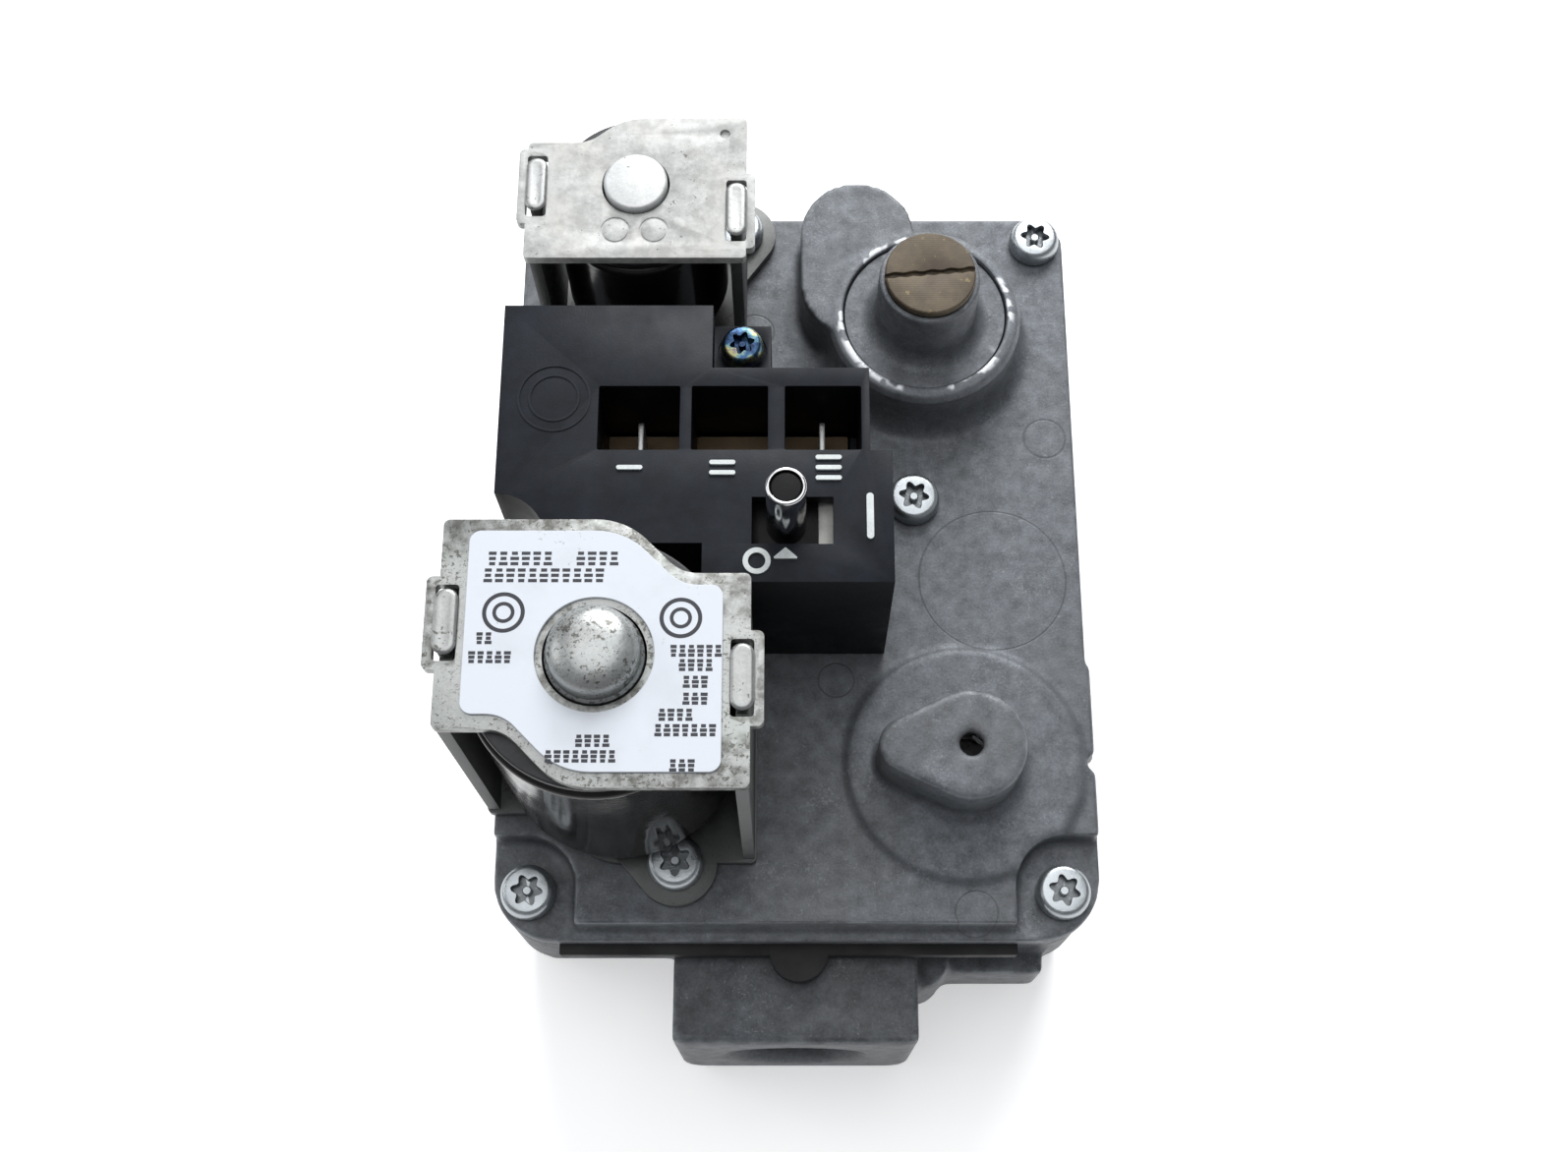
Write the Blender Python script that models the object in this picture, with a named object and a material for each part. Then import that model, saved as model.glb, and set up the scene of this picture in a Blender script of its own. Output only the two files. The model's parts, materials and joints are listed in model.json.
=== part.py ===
"""Two-solenoid gas valve: cast body and cover, terminal block with a slide switch, pressure regulator.

Origin: centre of the flat bottom face. +Z is up, -Y points out of the outlet port, +Y out of the inlet.
Sizes below are in millimetres; the objects are built in metres.
"""

from math import atan2, ceil, cos, degrees, pi, radians, sin, tan

import bmesh
import bpy
from mathutils import Matrix, Vector

MM = 0.001

# Clearance between pieces that rest on or run in each other, and how far a cutter runs past a face.
GAP = 0.3
OVERSHOOT = 1.0

# Overall sizes.
COVER_WIDTH = 86.5
COVER_LENGTH = 115.0
BODY_HEIGHT = 36.0
COVER_THICKNESS = 6.5
FLANGE_THICKNESS = 3.0
GASKET_THICKNESS = 1.9

# Levels from the bottom face upwards.
GASKET_BOTTOM = BODY_HEIGHT + GAP
GASKET_TOP = GASKET_BOTTOM + GASKET_THICKNESS
COVER_BOTTOM = GASKET_TOP + GAP
FLANGE_TOP = COVER_BOTTOM + FLANGE_THICKNESS
COVER_TOP = COVER_BOTTOM + COVER_THICKNESS
ON_COVER = COVER_TOP + GAP

# Edges of the cover.
RIGHT = COVER_WIDTH / 2
LEFT = -RIGHT
COVER_RIGHT = RIGHT + 0.3
BACK = COVER_LENGTH / 2
FRONT = -BACK
FRONT_CORNER = 9.0
REAR_CORNER = 5.0
EDGE_STEP = 0.6
EDGE_STEP_Y = FRONT + 39.5
FRONT_LIP = 1.9
PLATEAU_INSET = 0.2
POCKET_WIDTH = 12.0
POCKET_DEPTH = 14.3
POCKET_CORNER = 7.0
EDGE_NOTCH_RADIUS = 1.3

# Chambers in the body, open at the top.
WALL = 4.25
CHAMBER_FLOOR = 12.0
CHAMBER_FRONT_END = 13.5
CHAMBER_BACK_END = 8.9
MID_WALL_BACK = 14.0
MID_WALL_FRONT = 2.0
DIVIDER_RIGHT = -8.0
DIVIDER_LEFT = -12.0
CHAMBER_CORNER = 4.0
PASSAGE_RADIUS = 3.5
PASSAGE_HEIGHT = 6.5
CASTING_CORNER = 7.0
BODY_INSET = 0.6
FRONT_RECESS = 4.0
RECESS_HEIGHT = BODY_HEIGHT - 16.0
GASKET_MARGIN = 1.0
GASKET_TAB_X = 0.5
GASKET_TAB_RADIUS = 4.2

# Pipe ports.
PORT_RADIUS = 9.2
PORT_CHAMFER = 1.5
PORT_BOSS_WIDTH = 35.3
PORT_BOSS_CORNER = 4.5
OUTLET_BOSS_HEIGHT = BODY_HEIGHT - 1.5
OUTLET_BOSS_LENGTH = 13.5
INLET_BOSS_HEIGHT = BODY_HEIGHT - 3.0
INLET_BOSS_LENGTH = 5.5
PORT_HEIGHT = OUTLET_BOSS_HEIGHT / 2 - 0.05
SCREEN_THICKNESS = 0.6
SCREEN_HOLE_RADIUS = 1.2
SCREEN_PITCH = 3.4
TAP_RADIUS = 4.9
TAP_LENGTH = 3.6
TAP_HEIGHT = BODY_HEIGHT - 12.0
TAP_SOCKET = 2.6

# Fasteners.
SCREW_RADIUS = 2.0
SCREW_LENGTH = 18.0
SCREW_HEAD_RADIUS = 3.9
SCREW_HEAD_HEIGHT = 2.6
SCREW_FLAT = 0.77
SCREW_SOCKET = 0.56
SCREW_PIN_RADIUS = 0.75
SCREW_SOCKET_DEPTH = 1.5
SMALL_SCREW_RADIUS = 1.6
SMALL_SCREW_LENGTH = 4.2
SCREW_INSET = 5.2
FRONT_SCREW_Y = FRONT + 6.7
REAR_SCREW_Y = BACK - 5.0
MIDDLE_SCREW = (RIGHT - 25.4, 8.1)

# Solenoids: axis, plate half sizes and heights.
SHEET = 1.6
FRONT_AXIS = (LEFT + 18.8, FRONT + 26.4)
FRONT_PLATE_TOP = COVER_TOP + 47.0
FRONT_PLATE_HALF = (19.1, 17.0)
FRONT_PLATE_STEP = 7.1
FRONT_COIL_RADIUS = 16.8
REAR_AXIS = (LEFT + 20.7, BACK - 14.9)
REAR_PLATE_TOP = COVER_TOP + 34.0
REAR_PLATE_HALF = (15.5, 11.3)
REAR_PLATE_STEP = 4.0
REAR_COIL_RADIUS = 12.3
REAR_BASE_BACK = REAR_SCREW_Y - SCREW_HEAD_RADIUS - 0.1
LEG_INSET = 0.5
STAKE_LENGTH = 8.4
STAKE_WIDTH = 3.0
STAKE_HEAD = 0.5
PLATE_TAB_REACH = 1.6
PLATE_TAB_ROOT = 2.64
PLATE_TAB_LENGTH = 12.0
TUBE_COLLAR_RADIUS = 7.7
TUBE_FLANGE_RADIUS = 9.4
TUBE_FLANGE_THICKNESS = 1.2
TUBE_WALL = 1.0
FRONT_TUBE_RADIUS = 6.1
FRONT_DOME_HEIGHT = 4.6
REAR_TUBE_RADIUS = 4.5
REAR_TUBE_RISE = 1.0
BOBBIN_WALL = 1.6
BOBBIN_FLANGE = 1.3
CORE_LENGTH = 8.0
PLUNGER_TRAVEL = 2.0
STEM_RADIUS = 2.0
SEAT_HEIGHT = BODY_HEIGHT - 8.0
SEAT_RADIUS = 7.5
SEAT_BORE = 3.5
VALVE_DISC_RADIUS = 5.0
VALVE_DISC_THICKNESS = 2.4
LABEL_THICKNESS = 0.25
LABEL_MARGIN = 1.7
LABEL_HOLE_RADIUS = FRONT_TUBE_RADIUS + 1.17
LABEL_SIDE_MARGIN = 3.4

# Terminal block and switch.
BLOCK_TOP = COVER_TOP + 31.5
BLOCK_WALL = 2.2
BLOCK_LEFT = LEFT + 2.8
BLOCK_RIGHT = RIGHT - 30.2
BLOCK_BACK = BACK - 32.7
BLOCK_FRONT = FRONT + 41.4
BLOCK_STEP_Y = BLOCK_BACK - 9.6
BLOCK_WAIST = 3.0
BLOCK_STEP_X = LEFT + 31.8
BLOCK_NOTCH = 7.2
BLOCK_NOTCH_Y = FRONT + 54.1
BLOCK_NARROW_LEFT = DIVIDER_LEFT - 0.5
CAVITY_FRONT = BLOCK_FRONT + 19.0
CAVITY_LENGTH = 9.5
CAVITY_WIDTH = 10.4
CAVITY_WALL = 2.2
TERMINAL_PITCH = 12.7
TERMINAL_MIDDLE_X = BLOCK_RIGHT - 22.05
SPADE_THICKNESS = 0.8
SPADE_WIDTH = 6.35
SPADE_HEIGHT = 8.0
SPADE_TAIL = 3.0
BOARD_THICKNESS = 1.6
BOARD_TOP = BLOCK_TOP - 16.3
SLOT_X = (BLOCK_RIGHT - 18.95, BLOCK_RIGHT - 8.05)
SLOT_Y = (BLOCK_FRONT + 5.4, BLOCK_FRONT + 12.1)
LEVER_RADIUS = 2.65
LEVER_WALL = 0.55
LEVER_TOP = BLOCK_TOP + 11.9
LEVER_CENTRE = (SLOT_X[0] + 4.6, (SLOT_Y[0] + SLOT_Y[1]) / 2)
SLIDER_THICKNESS = 1.6
SLIDER_LEFT = SLOT_X[0] - 2.7
SLIDER_HALF_WIDTH = 4.4
COLLAR_THICKNESS = 0.9
BLADE_HALF = (4.0, 1.2)
BLADE_THICKNESS = 0.5
CONTACT_REACH = 3.0
CONTACT_DEPTH = 1.6
SWITCH_TRAVEL = 3.3
LUG_BACK = BLOCK_BACK - 0.9
LUG_SCREW_BACK = 4.6
LUG_SCREW_HEAD = 3.0
LUG_RIGHT = LEFT + 39.8
LUG_TOP = BLOCK_TOP - 4.5

# Pressure regulator.
REGULATOR_AXIS = (RIGHT - 23.6, BACK - 22.6)
RIM_RADIUS = 14.5
RIM_FLARE = 2.4
RIM_FLARE_HEIGHT = 5.0
RIM_HEIGHT = 10.3
WELL_RADIUS = 11.3
WELL_FLOOR = COVER_TOP + 1.5
BONNET_TOP = COVER_TOP + 8.7
TOWER_RADIUS = 7.43
TOWER_TOP = COVER_TOP + 21.2
CAP_RADIUS = 6.65
CAP_THREAD_RADIUS = 5.3
CAP_THREAD_LENGTH = 3.6
CAP_HEIGHT = 1.5
CAP_SLOT_WIDTH = 0.9
CAP_SLOT_DEPTH = 0.8
CAP_SLOT_ANGLE = 5.0
ADJUSTER_RADIUS = 4.6
ADJUSTER_LENGTH = 3.5
ADJUSTER_TRAVEL = 1.5
NOZZLE_RADIUS = 4.5
NOZZLE_LENGTH = 3.5

# Main diaphragm valve under the vent.
VENT_AXIS = (RIGHT - 18.8, FRONT + 24.9)
VENT_DISC_RADIUS = 17.1
VENT_DISC_RISE = 0.8
VENT_BOSS_RADIUS = 7.8
VENT_LOBE_RADIUS = 3.9
VENT_LOBE_REACH = 9.0
VENT_BOSS_TOP = COVER_TOP + 11.4
VENT_HOLE_RADIUS = 1.69
VENT_BOSS_WALL = 1.8
DIAPHRAGM_RADIUS = 13.4
DIAPHRAGM_FOLD = 2.0
DIAPHRAGM_BEAD = 1.5
DIAPHRAGM_ROOF = COVER_TOP - 2.0
MAIN_SEAT_HEIGHT = BODY_HEIGHT - 15.0
MAIN_SEAT_RADIUS = 9.0
MAIN_SEAT_BORE = 5.5

# Rounded boss behind the regulator.
REAR_BOSS_X = RIGHT - 33.7
REAR_BOSS_RADIUS = 8.7
REAR_BOSS_RISE = 10.0

# Facets: the largest turn between two neighbouring faces of each round size.
FINE, MEDIUM, COARSE = 28, 20, 12

COLOURS = {
    "cast_aluminium": ((0.30, 0.31, 0.33, 1.0), 0.6, 0.55),
    "zinc_steel": ((0.62, 0.62, 0.60, 1.0), 0.35, 0.9),
    "black_plastic": ((0.022, 0.026, 0.040, 1.0), 0.45, 0.0),
    "coil_black": ((0.015, 0.014, 0.014, 1.0), 0.15, 0.0),
    "white_label": ((0.85, 0.86, 0.87, 1.0), 0.5, 0.0),
    "white_nylon": ((0.72, 0.72, 0.68, 1.0), 0.45, 0.0),
    "brass": ((0.36, 0.26, 0.12, 1.0), 0.45, 0.9),
    "chrome": ((0.75, 0.75, 0.76, 1.0), 0.12, 1.0),
    "rubber": ((0.02, 0.02, 0.02, 1.0), 0.75, 0.0),
    "steel": ((0.55, 0.55, 0.56, 1.0), 0.3, 1.0),
    "board": ((0.30, 0.22, 0.13, 1.0), 0.6, 0.0),
}


def clear_scene():
    for old in list(bpy.data.objects):
        bpy.data.objects.remove(old, do_unlink=True)


def make_material(name):
    colour, roughness, metallic = COLOURS[name]
    material = bpy.data.materials.new(name)
    material.use_nodes = True
    shader = material.node_tree.nodes["Principled BSDF"]
    shader.inputs["Base Color"].default_value = colour
    shader.inputs["Roughness"].default_value = roughness
    shader.inputs["Metallic"].default_value = metallic
    return material


def add_object(name, mesh_data, material, origin=(0.0, 0.0, 0.0)):
    """Makes an object from a bmesh in millimetres about origin."""
    bmesh.ops.recalc_face_normals(mesh_data, faces=mesh_data.faces)
    bmesh.ops.scale(mesh_data, vec=(MM, MM, MM), verts=mesh_data.verts)
    mesh = bpy.data.meshes.new(name)
    mesh_data.to_mesh(mesh)
    mesh_data.free()
    mesh.shade_smooth()
    mesh.set_sharp_from_angle(angle=radians(30))
    if material:
        mesh.materials.append(bpy.data.materials.get(material) or make_material(material))
    made = bpy.data.objects.new(name, mesh)
    made.location = Vector(origin) * MM
    bpy.context.scene.collection.objects.link(made)
    return made


def round_corners(corners, step=22.5):
    """Points of an outline given as (x, y) or (x, y, radius), each round corner an arc."""
    points = []
    count = len(corners)
    for index, corner in enumerate(corners):
        here = Vector(corner[:2])
        radius = corner[2] if len(corner) > 2 else 0.0
        if not radius:
            points.append(here)
            continue
        before = (Vector(corners[index - 1][:2]) - here).normalized()
        after = (Vector(corners[(index + 1) % count][:2]) - here).normalized()
        half = before.angle(after) / 2
        centre = here + (before + after).normalized() * radius / sin(half)
        start = here + before * radius / tan(half) - centre
        sweep = pi - 2 * half
        turn = 1.0 if before.cross(after) < 0 else -1.0
        steps = max(1, ceil(degrees(sweep) / step))
        for number in range(steps + 1):
            points.append(centre + Matrix.Rotation(turn * sweep * number / steps, 2) @ start)
    return points


def rectangle(x0, x1, y0, y1, radius=0.0):
    return round_corners([(x0, y0, radius), (x1, y0, radius), (x1, y1, radius), (x0, y1, radius)])


def circle(centre, radius, segments):
    steps = [2 * pi * number / segments for number in range(segments)]
    return [Vector((centre[0] + radius * cos(a), centre[1] + radius * sin(a))) for a in steps]


def hull_of_circles(first, first_radius, second, second_radius, segments=MEDIUM):
    """Outline of two circles and the straight tangents between them."""
    line = Vector(second) - Vector(first)
    heading = atan2(line.y, line.x)
    lean = pi / 2 - (first_radius - second_radius) / line.length
    points = []
    for centre, radius, start, sweep in (
        (first, first_radius, heading + lean, 2 * pi - 2 * lean),
        (second, second_radius, heading - lean, 2 * lean),
    ):
        steps = max(2, ceil(segments * sweep / (2 * pi)))
        for number in range(steps + 1):
            angle = start + sweep * number / steps
            points.append(Vector((centre[0] + radius * cos(angle), centre[1] + radius * sin(angle))))
    return points


def add_prism(made, outline, z0, z1):
    low = [made.verts.new((point[0], point[1], z0)) for point in outline]
    high = [made.verts.new((point[0], point[1], z1)) for point in outline]
    made.faces.new(reversed(low))
    made.faces.new(high)
    for index in range(len(low)):
        after = (index + 1) % len(low)
        made.faces.new((low[index], low[after], high[after], high[index]))


def prism_mesh(outline, z0, z1):
    made = bmesh.new()
    add_prism(made, outline, z0, z1)
    return made


def prism(name, outline, z0, z1, material=None):
    return add_object(name, prism_mesh(outline, z0, z1), material)


def block(name, x0, x1, y0, y1, z0, z1, material=None):
    return prism(name, rectangle(x0, x1, y0, y1), z0, z1, material)


def turned_mesh(profile, segments):
    """A solid of revolution about Z from a closed loop of (radius, z), which may lie on the axis."""
    made = bmesh.new()
    rings = []
    for radius, z in profile:
        if radius == 0.0:
            rings.append([made.verts.new((0.0, 0.0, z))])
            continue
        turns = [2 * pi * number / segments for number in range(segments)]
        rings.append([made.verts.new((radius * cos(a), radius * sin(a), z)) for a in turns])
    for index, ring in enumerate(rings):
        after = rings[(index + 1) % len(rings)]
        if len(ring) == 1 and len(after) == 1:
            continue
        for number in range(segments):
            other = (number + 1) % segments
            corners = [ring[number % len(ring)], ring[other % len(ring)]]
            corners += [after[other % len(after)], after[number % len(after)]]
            made.faces.new(list(dict.fromkeys(corners)))
    return made


def turned(name, profile, axis, segments, material=None):
    """A turned piece whose origin lies on its axis."""
    return add_object(name, turned_mesh(profile, segments), material, (axis[0], axis[1], 0.0))


def rod_profile(radius, z0, z1):
    return [(0.0, z0), (radius, z0), (radius, z1), (0.0, z1)]


def rod(name, axis, radius, z0, z1, segments=COARSE, material=None):
    return turned(name, rod_profile(radius, z0, z1), axis, segments, material)


def stepped(steps, low):
    """Profile of a stack of cylinders from low upwards, each given as (radius, top)."""
    profile = [(0.0, low)]
    for radius, top in steps:
        profile += [(radius, low), (radius, top)]
        low = top
    return profile + [(0.0, low)]


def tube_profile(inner, outer, z0, z1):
    return [(inner, z0), (outer, z0), (outer, z1), (inner, z1)]


def level_rod(name, start, direction, radius, length, segments=COARSE, material=None):
    """A rod that runs level from start along direction, with its origin at start."""
    made = add_object(name, turned_mesh(rod_profile(radius, 0.0, length), segments), material, start)
    made.rotation_euler = Vector(direction).to_track_quat("Z", "Y").to_euler()
    return made


def join_with(target, tool, operation):
    """Adds or takes away tool, which stays in the file as a hidden guide."""
    tool.hide_render = True
    tool.display_type = "WIRE"
    modifier = target.modifiers.new(tool.name, "BOOLEAN")
    modifier.operation = operation
    modifier.object = tool
    modifier.solver = "EXACT"


def add_to(target, *tools):
    for tool in tools:
        join_with(target, tool, "UNION")


def cut_from(target, *tools):
    for tool in tools:
        join_with(target, tool, "DIFFERENCE")


def spring(name, axis, radius, wire, z0, z1, turns, material="steel"):
    """A coil spring between two heights, with its origin on its axis."""
    made = bmesh.new()
    per_turn, sides = 10, 5
    steps = turns * per_turn
    low, high = z0 + wire, z1 - wire
    rings = []
    for number in range(steps + 1):
        angle = 2 * pi * number / per_turn
        height = low + (high - low) * number / steps
        ring = []
        for side in range(sides):
            tilt = 2 * pi * side / sides
            reach = radius + wire * cos(tilt)
            ring.append(made.verts.new((reach * cos(angle), reach * sin(angle), height + wire * sin(tilt))))
        rings.append(ring)
    for first, second in zip(rings, rings[1:]):
        for side in range(sides):
            other = (side + 1) % sides
            made.faces.new((first[side], first[other], second[other], second[side]))
    made.faces.new(rings[0])
    made.faces.new(reversed(rings[-1]))
    return add_object(name, made, material, (axis[0], axis[1], 0.0))


def screw(name, place, seat, radius=SCREW_RADIUS, length=SCREW_LENGTH, head=SCREW_HEAD_RADIUS):
    """A button-head screw with a ring socket round a centre pin. seat is the underside of its head."""
    top = seat + SCREW_HEAD_HEIGHT
    floor = top - SCREW_SOCKET_DEPTH
    profile = [
        (0.0, seat - length),
        (radius, seat - length),
        (radius, seat),
        (head, seat),
        (head, seat + SCREW_HEAD_HEIGHT * 0.45),
        (head * SCREW_FLAT, top),
        (head * SCREW_SOCKET, top),
        (head * SCREW_SOCKET, floor),
        (SCREW_PIN_RADIUS, floor),
        (SCREW_PIN_RADIUS, top - GAP),
        (0.0, top - GAP),
    ]
    return turned(name, profile, place, COARSE, "zinc_steel")


def cover_screw_places():
    return {
        "front_left": (LEFT + SCREW_INSET, FRONT_SCREW_Y),
        "front_right": (RIGHT - SCREW_INSET, FRONT_SCREW_Y),
        "rear_left": (LEFT + SCREW_INSET, REAR_SCREW_Y),
        "rear_right": (RIGHT - SCREW_INSET, REAR_SCREW_Y),
        "middle": MIDDLE_SCREW,
    }


def chambers():
    """The three chambers as (name, x0, x1, y0, y1)."""
    return [
        ("inlet", LEFT + WALL, RIGHT - WALL, MID_WALL_BACK, BACK - CHAMBER_BACK_END),
        ("pilot", LEFT + WALL, DIVIDER_LEFT, FRONT + CHAMBER_FRONT_END, MID_WALL_FRONT),
        ("outlet", DIVIDER_RIGHT, RIGHT - WALL, FRONT + CHAMBER_FRONT_END, MID_WALL_FRONT),
    ]


def seats():
    """The three valve seats as (name, axis, seat height, outer radius, bore)."""
    return [
        ("rear", REAR_AXIS, SEAT_HEIGHT, SEAT_RADIUS, SEAT_BORE),
        ("front", FRONT_AXIS, SEAT_HEIGHT, SEAT_RADIUS, SEAT_BORE),
        ("main", VENT_AXIS, MAIN_SEAT_HEIGHT, MAIN_SEAT_RADIUS, MAIN_SEAT_BORE),
    ]


def body_outline():
    return rectangle(LEFT + BODY_INSET, RIGHT - BODY_INSET, FRONT + BODY_INSET, BACK - 0.4, CASTING_CORNER)


def port_boss(name, height, y0, y1):
    """A port boss with round lower edges, which runs into the body at one end."""
    half = PORT_BOSS_WIDTH / 2
    corners = [(-half, 0.0, PORT_BOSS_CORNER), (half, 0.0, PORT_BOSS_CORNER), (half, height), (-half, height)]
    return level_prism(name, round_corners(corners), y0, y1)


def level_prism(name, outline, y0, y1):
    """A prism whose outline lies in the XZ plane and which runs along Y."""
    made = prism_mesh([(x, -z) for x, z in outline], y0, y1)
    for vertex in made.verts:
        vertex.co = Vector((vertex.co.x, vertex.co.z, -vertex.co.y))
    return add_object(name, made, None)


def port_cutter(name, face_y, outward, inner_y):
    """The bore of a pipe port with its chamfered mouth."""
    depth = abs(inner_y - face_y)
    profile = [
        (0.0, -OVERSHOOT),
        (PORT_RADIUS + PORT_CHAMFER + OVERSHOOT, -OVERSHOOT),
        (PORT_RADIUS, PORT_CHAMFER),
        (PORT_RADIUS, depth),
        (0.0, depth),
    ]
    made = add_object(name, turned_mesh(profile, MEDIUM), None, (0.0, face_y, PORT_HEIGHT))
    made.rotation_euler = (radians(90 * outward), 0.0, 0.0)
    return made


def tap_places():
    """The two pressure taps in the right wall, as (name, y)."""
    return [("outlet", MID_WALL_FRONT - 12.0), ("inlet", MID_WALL_BACK + 14.0)]


def make_lower_body():
    body = prism("lower_body", body_outline(), 0.0, BODY_HEIGHT, "cast_aluminium")
    recess_back = FRONT + BODY_INSET + FRONT_RECESS
    recess = (LEFT - OVERSHOOT, RIGHT + OVERSHOOT, FRONT - OVERSHOOT, recess_back, -OVERSHOOT, RECESS_HEIGHT)
    cut_from(body, block("front_recess", *recess))
    ledge_low = RECESS_HEIGHT - 3.0
    ledge = (12.0, RIGHT - 6.9, FRONT - 2.9, recess_back + OVERSHOOT, ledge_low, BODY_HEIGHT - 6.0)
    lobe_low = RECESS_HEIGHT - 8.0
    add_to(
        body,
        port_boss("outlet_boss", OUTLET_BOSS_HEIGHT, FRONT - OUTLET_BOSS_LENGTH, recess_back + OVERSHOOT),
        port_boss("inlet_boss", INLET_BOSS_HEIGHT, BACK - 5.0, BACK + INLET_BOSS_LENGTH),
        block("front_ledge", *ledge),
        rod("front_lobe", (PORT_BOSS_WIDTH / 2 + 0.6, FRONT - 1.2), 4.2, lobe_low, BODY_HEIGHT - 4.0),
    )
    for name, x0, x1, y0, y1 in chambers():
        outline = rectangle(x0, x1, y0, y1, CHAMBER_CORNER)
        cut_from(body, prism(f"{name}_chamber", outline, CHAMBER_FLOOR, BODY_HEIGHT + OVERSHOOT))
    for name, axis, height, radius, _ in seats():
        add_to(body, rod(f"{name}_seat_boss", axis, radius, CHAMBER_FLOOR - OVERSHOOT, height, MEDIUM))
    for name, axis, height, _, bore in seats():
        cut_from(body, rod(f"{name}_seat_bore", axis, bore, PASSAGE_HEIGHT, height + OVERSHOOT, MEDIUM))
    rear_run = REAR_AXIS[1] - MID_WALL_FRONT + 10.0
    rear_start = (*REAR_AXIS, PASSAGE_HEIGHT)
    riser = (REAR_AXIS[0], REAR_AXIS[1] - rear_run + 4.0)
    cross_run = VENT_AXIS[0] - FRONT_AXIS[0]
    cross_start = (FRONT_AXIS[0], (FRONT_AXIS[1] + VENT_AXIS[1]) / 2, PASSAGE_HEIGHT)
    cut_from(
        body,
        level_rod("rear_passage", rear_start, (0, -1, 0), PASSAGE_RADIUS, rear_run),
        rod("pilot_riser", riser, PASSAGE_RADIUS, PASSAGE_HEIGHT, CHAMBER_FLOOR + OVERSHOOT),
        level_rod("cross_passage", cross_start, (1, 0, 0), PASSAGE_RADIUS, cross_run),
        port_cutter("outlet_port", FRONT - OUTLET_BOSS_LENGTH, -1, FRONT + CHAMBER_FRONT_END + 4.0),
        port_cutter("inlet_port", BACK + INLET_BOSS_LENGTH, 1, BACK - CHAMBER_BACK_END - 4.0),
    )
    for name, place in cover_screw_places().items():
        low = COVER_TOP - SCREW_LENGTH - 2 * FLANGE_THICKNESS
        cut_from(body, rod(f"{name}_tapping", place, SCREW_RADIUS + GAP, low, BODY_HEIGHT + OVERSHOOT))
    for name, y in tap_places():
        start = (RIGHT - WALL - OVERSHOOT, y, TAP_HEIGHT)
        run = WALL + 2 * OVERSHOOT
        cut_from(body, level_rod(f"{name}_tap_hole", start, (1, 0, 0), TAP_RADIUS + GAP, run))


def make_body_gasket():
    """The gasket follows the body's rim, and its front edge and a round tab stick out under the cover."""
    margin = GASKET_MARGIN
    low, high = GASKET_BOTTOM - OVERSHOOT, GASKET_TOP + OVERSHOOT
    gasket = prism(
        "body_gasket",
        rectangle(LEFT + margin, RIGHT - margin, FRONT + margin, BACK - margin, CASTING_CORNER),
        GASKET_BOTTOM,
        GASKET_TOP,
        "rubber",
    )
    tab_axis = (GASKET_TAB_X, FRONT - 1.0)
    add_to(
        gasket,
        block("gasket_front", LEFT + 9.5, RIGHT - 11.5, FRONT - 1.5, FRONT + 4.0, GASKET_BOTTOM, GASKET_TOP),
        rod("gasket_tab", tab_axis, GASKET_TAB_RADIUS, GASKET_BOTTOM, GASKET_TOP, MEDIUM),
    )
    for name, x0, x1, y0, y1 in chambers():
        outline = rectangle(x0 + GAP, x1 - GAP, y0 + GAP, y1 - GAP, CHAMBER_CORNER)
        cut_from(gasket, prism(f"{name}_window", outline, low, high))
    for name, place in cover_screw_places().items():
        cut_from(gasket, rod(f"{name}_gasket_hole", place, SCREW_RADIUS + GAP, low, high))


def cover_outline():
    return round_corners(
        [
            (LEFT, FRONT),
            (COVER_RIGHT, FRONT),
            (COVER_RIGHT, EDGE_STEP_Y),
            (COVER_RIGHT - EDGE_STEP, EDGE_STEP_Y + EDGE_STEP),
            (COVER_RIGHT - EDGE_STEP, BACK, REAR_CORNER),
            (LEFT, BACK, REAR_CORNER),
        ]
    )


def corner_cutter(name, edge_x, side):
    """Rounds a front corner of the flange and the plateau. side is -1 at the left and 1 at the right."""
    steps = [pi / 2 * number / 10 for number in range(11)]
    middle = Vector((edge_x - side * FRONT_CORNER, FRONT + FRONT_CORNER))
    arc = [middle + FRONT_CORNER * Vector((side * sin(turn), -cos(turn))) for turn in steps]
    outer_x = edge_x + side * OVERSHOOT
    outer_y = FRONT - OVERSHOOT
    outline = [Vector((middle.x, outer_y)), *arc, Vector((outer_x, middle.y)), Vector((outer_x, outer_y))]
    return prism(name, outline, COVER_BOTTOM - OVERSHOOT, COVER_TOP + OVERSHOOT)


def plateau_outline():
    """The cover's raised top, which leaves a lip at the front."""
    left, right = LEFT + PLATEAU_INSET, COVER_RIGHT - PLATEAU_INSET
    back = BACK - PLATEAU_INSET
    return round_corners(
        [
            (left, FRONT + FRONT_LIP, 0.8),
            (right, FRONT + FRONT_LIP, 0.8),
            (right, EDGE_STEP_Y),
            (right - EDGE_STEP, EDGE_STEP_Y + EDGE_STEP),
            (right - EDGE_STEP, back, REAR_CORNER),
            (left, back, REAR_CORNER),
        ]
    )


def screw_pocket(side):
    """Cuts the plateau away round a front screw. side is -1 at the left and 1 at the right."""
    inner = side * (RIGHT - POCKET_WIDTH)
    outer = side * (RIGHT + 2.0)
    back = FRONT + POCKET_DEPTH
    corners = [(inner, FRONT - 2.0), (outer, FRONT - 2.0), (outer, back), (inner, back, POCKET_CORNER)]
    return prism(f"pocket_{side + 1}", round_corners(corners), FLANGE_TOP, COVER_TOP + 3.0)


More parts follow.
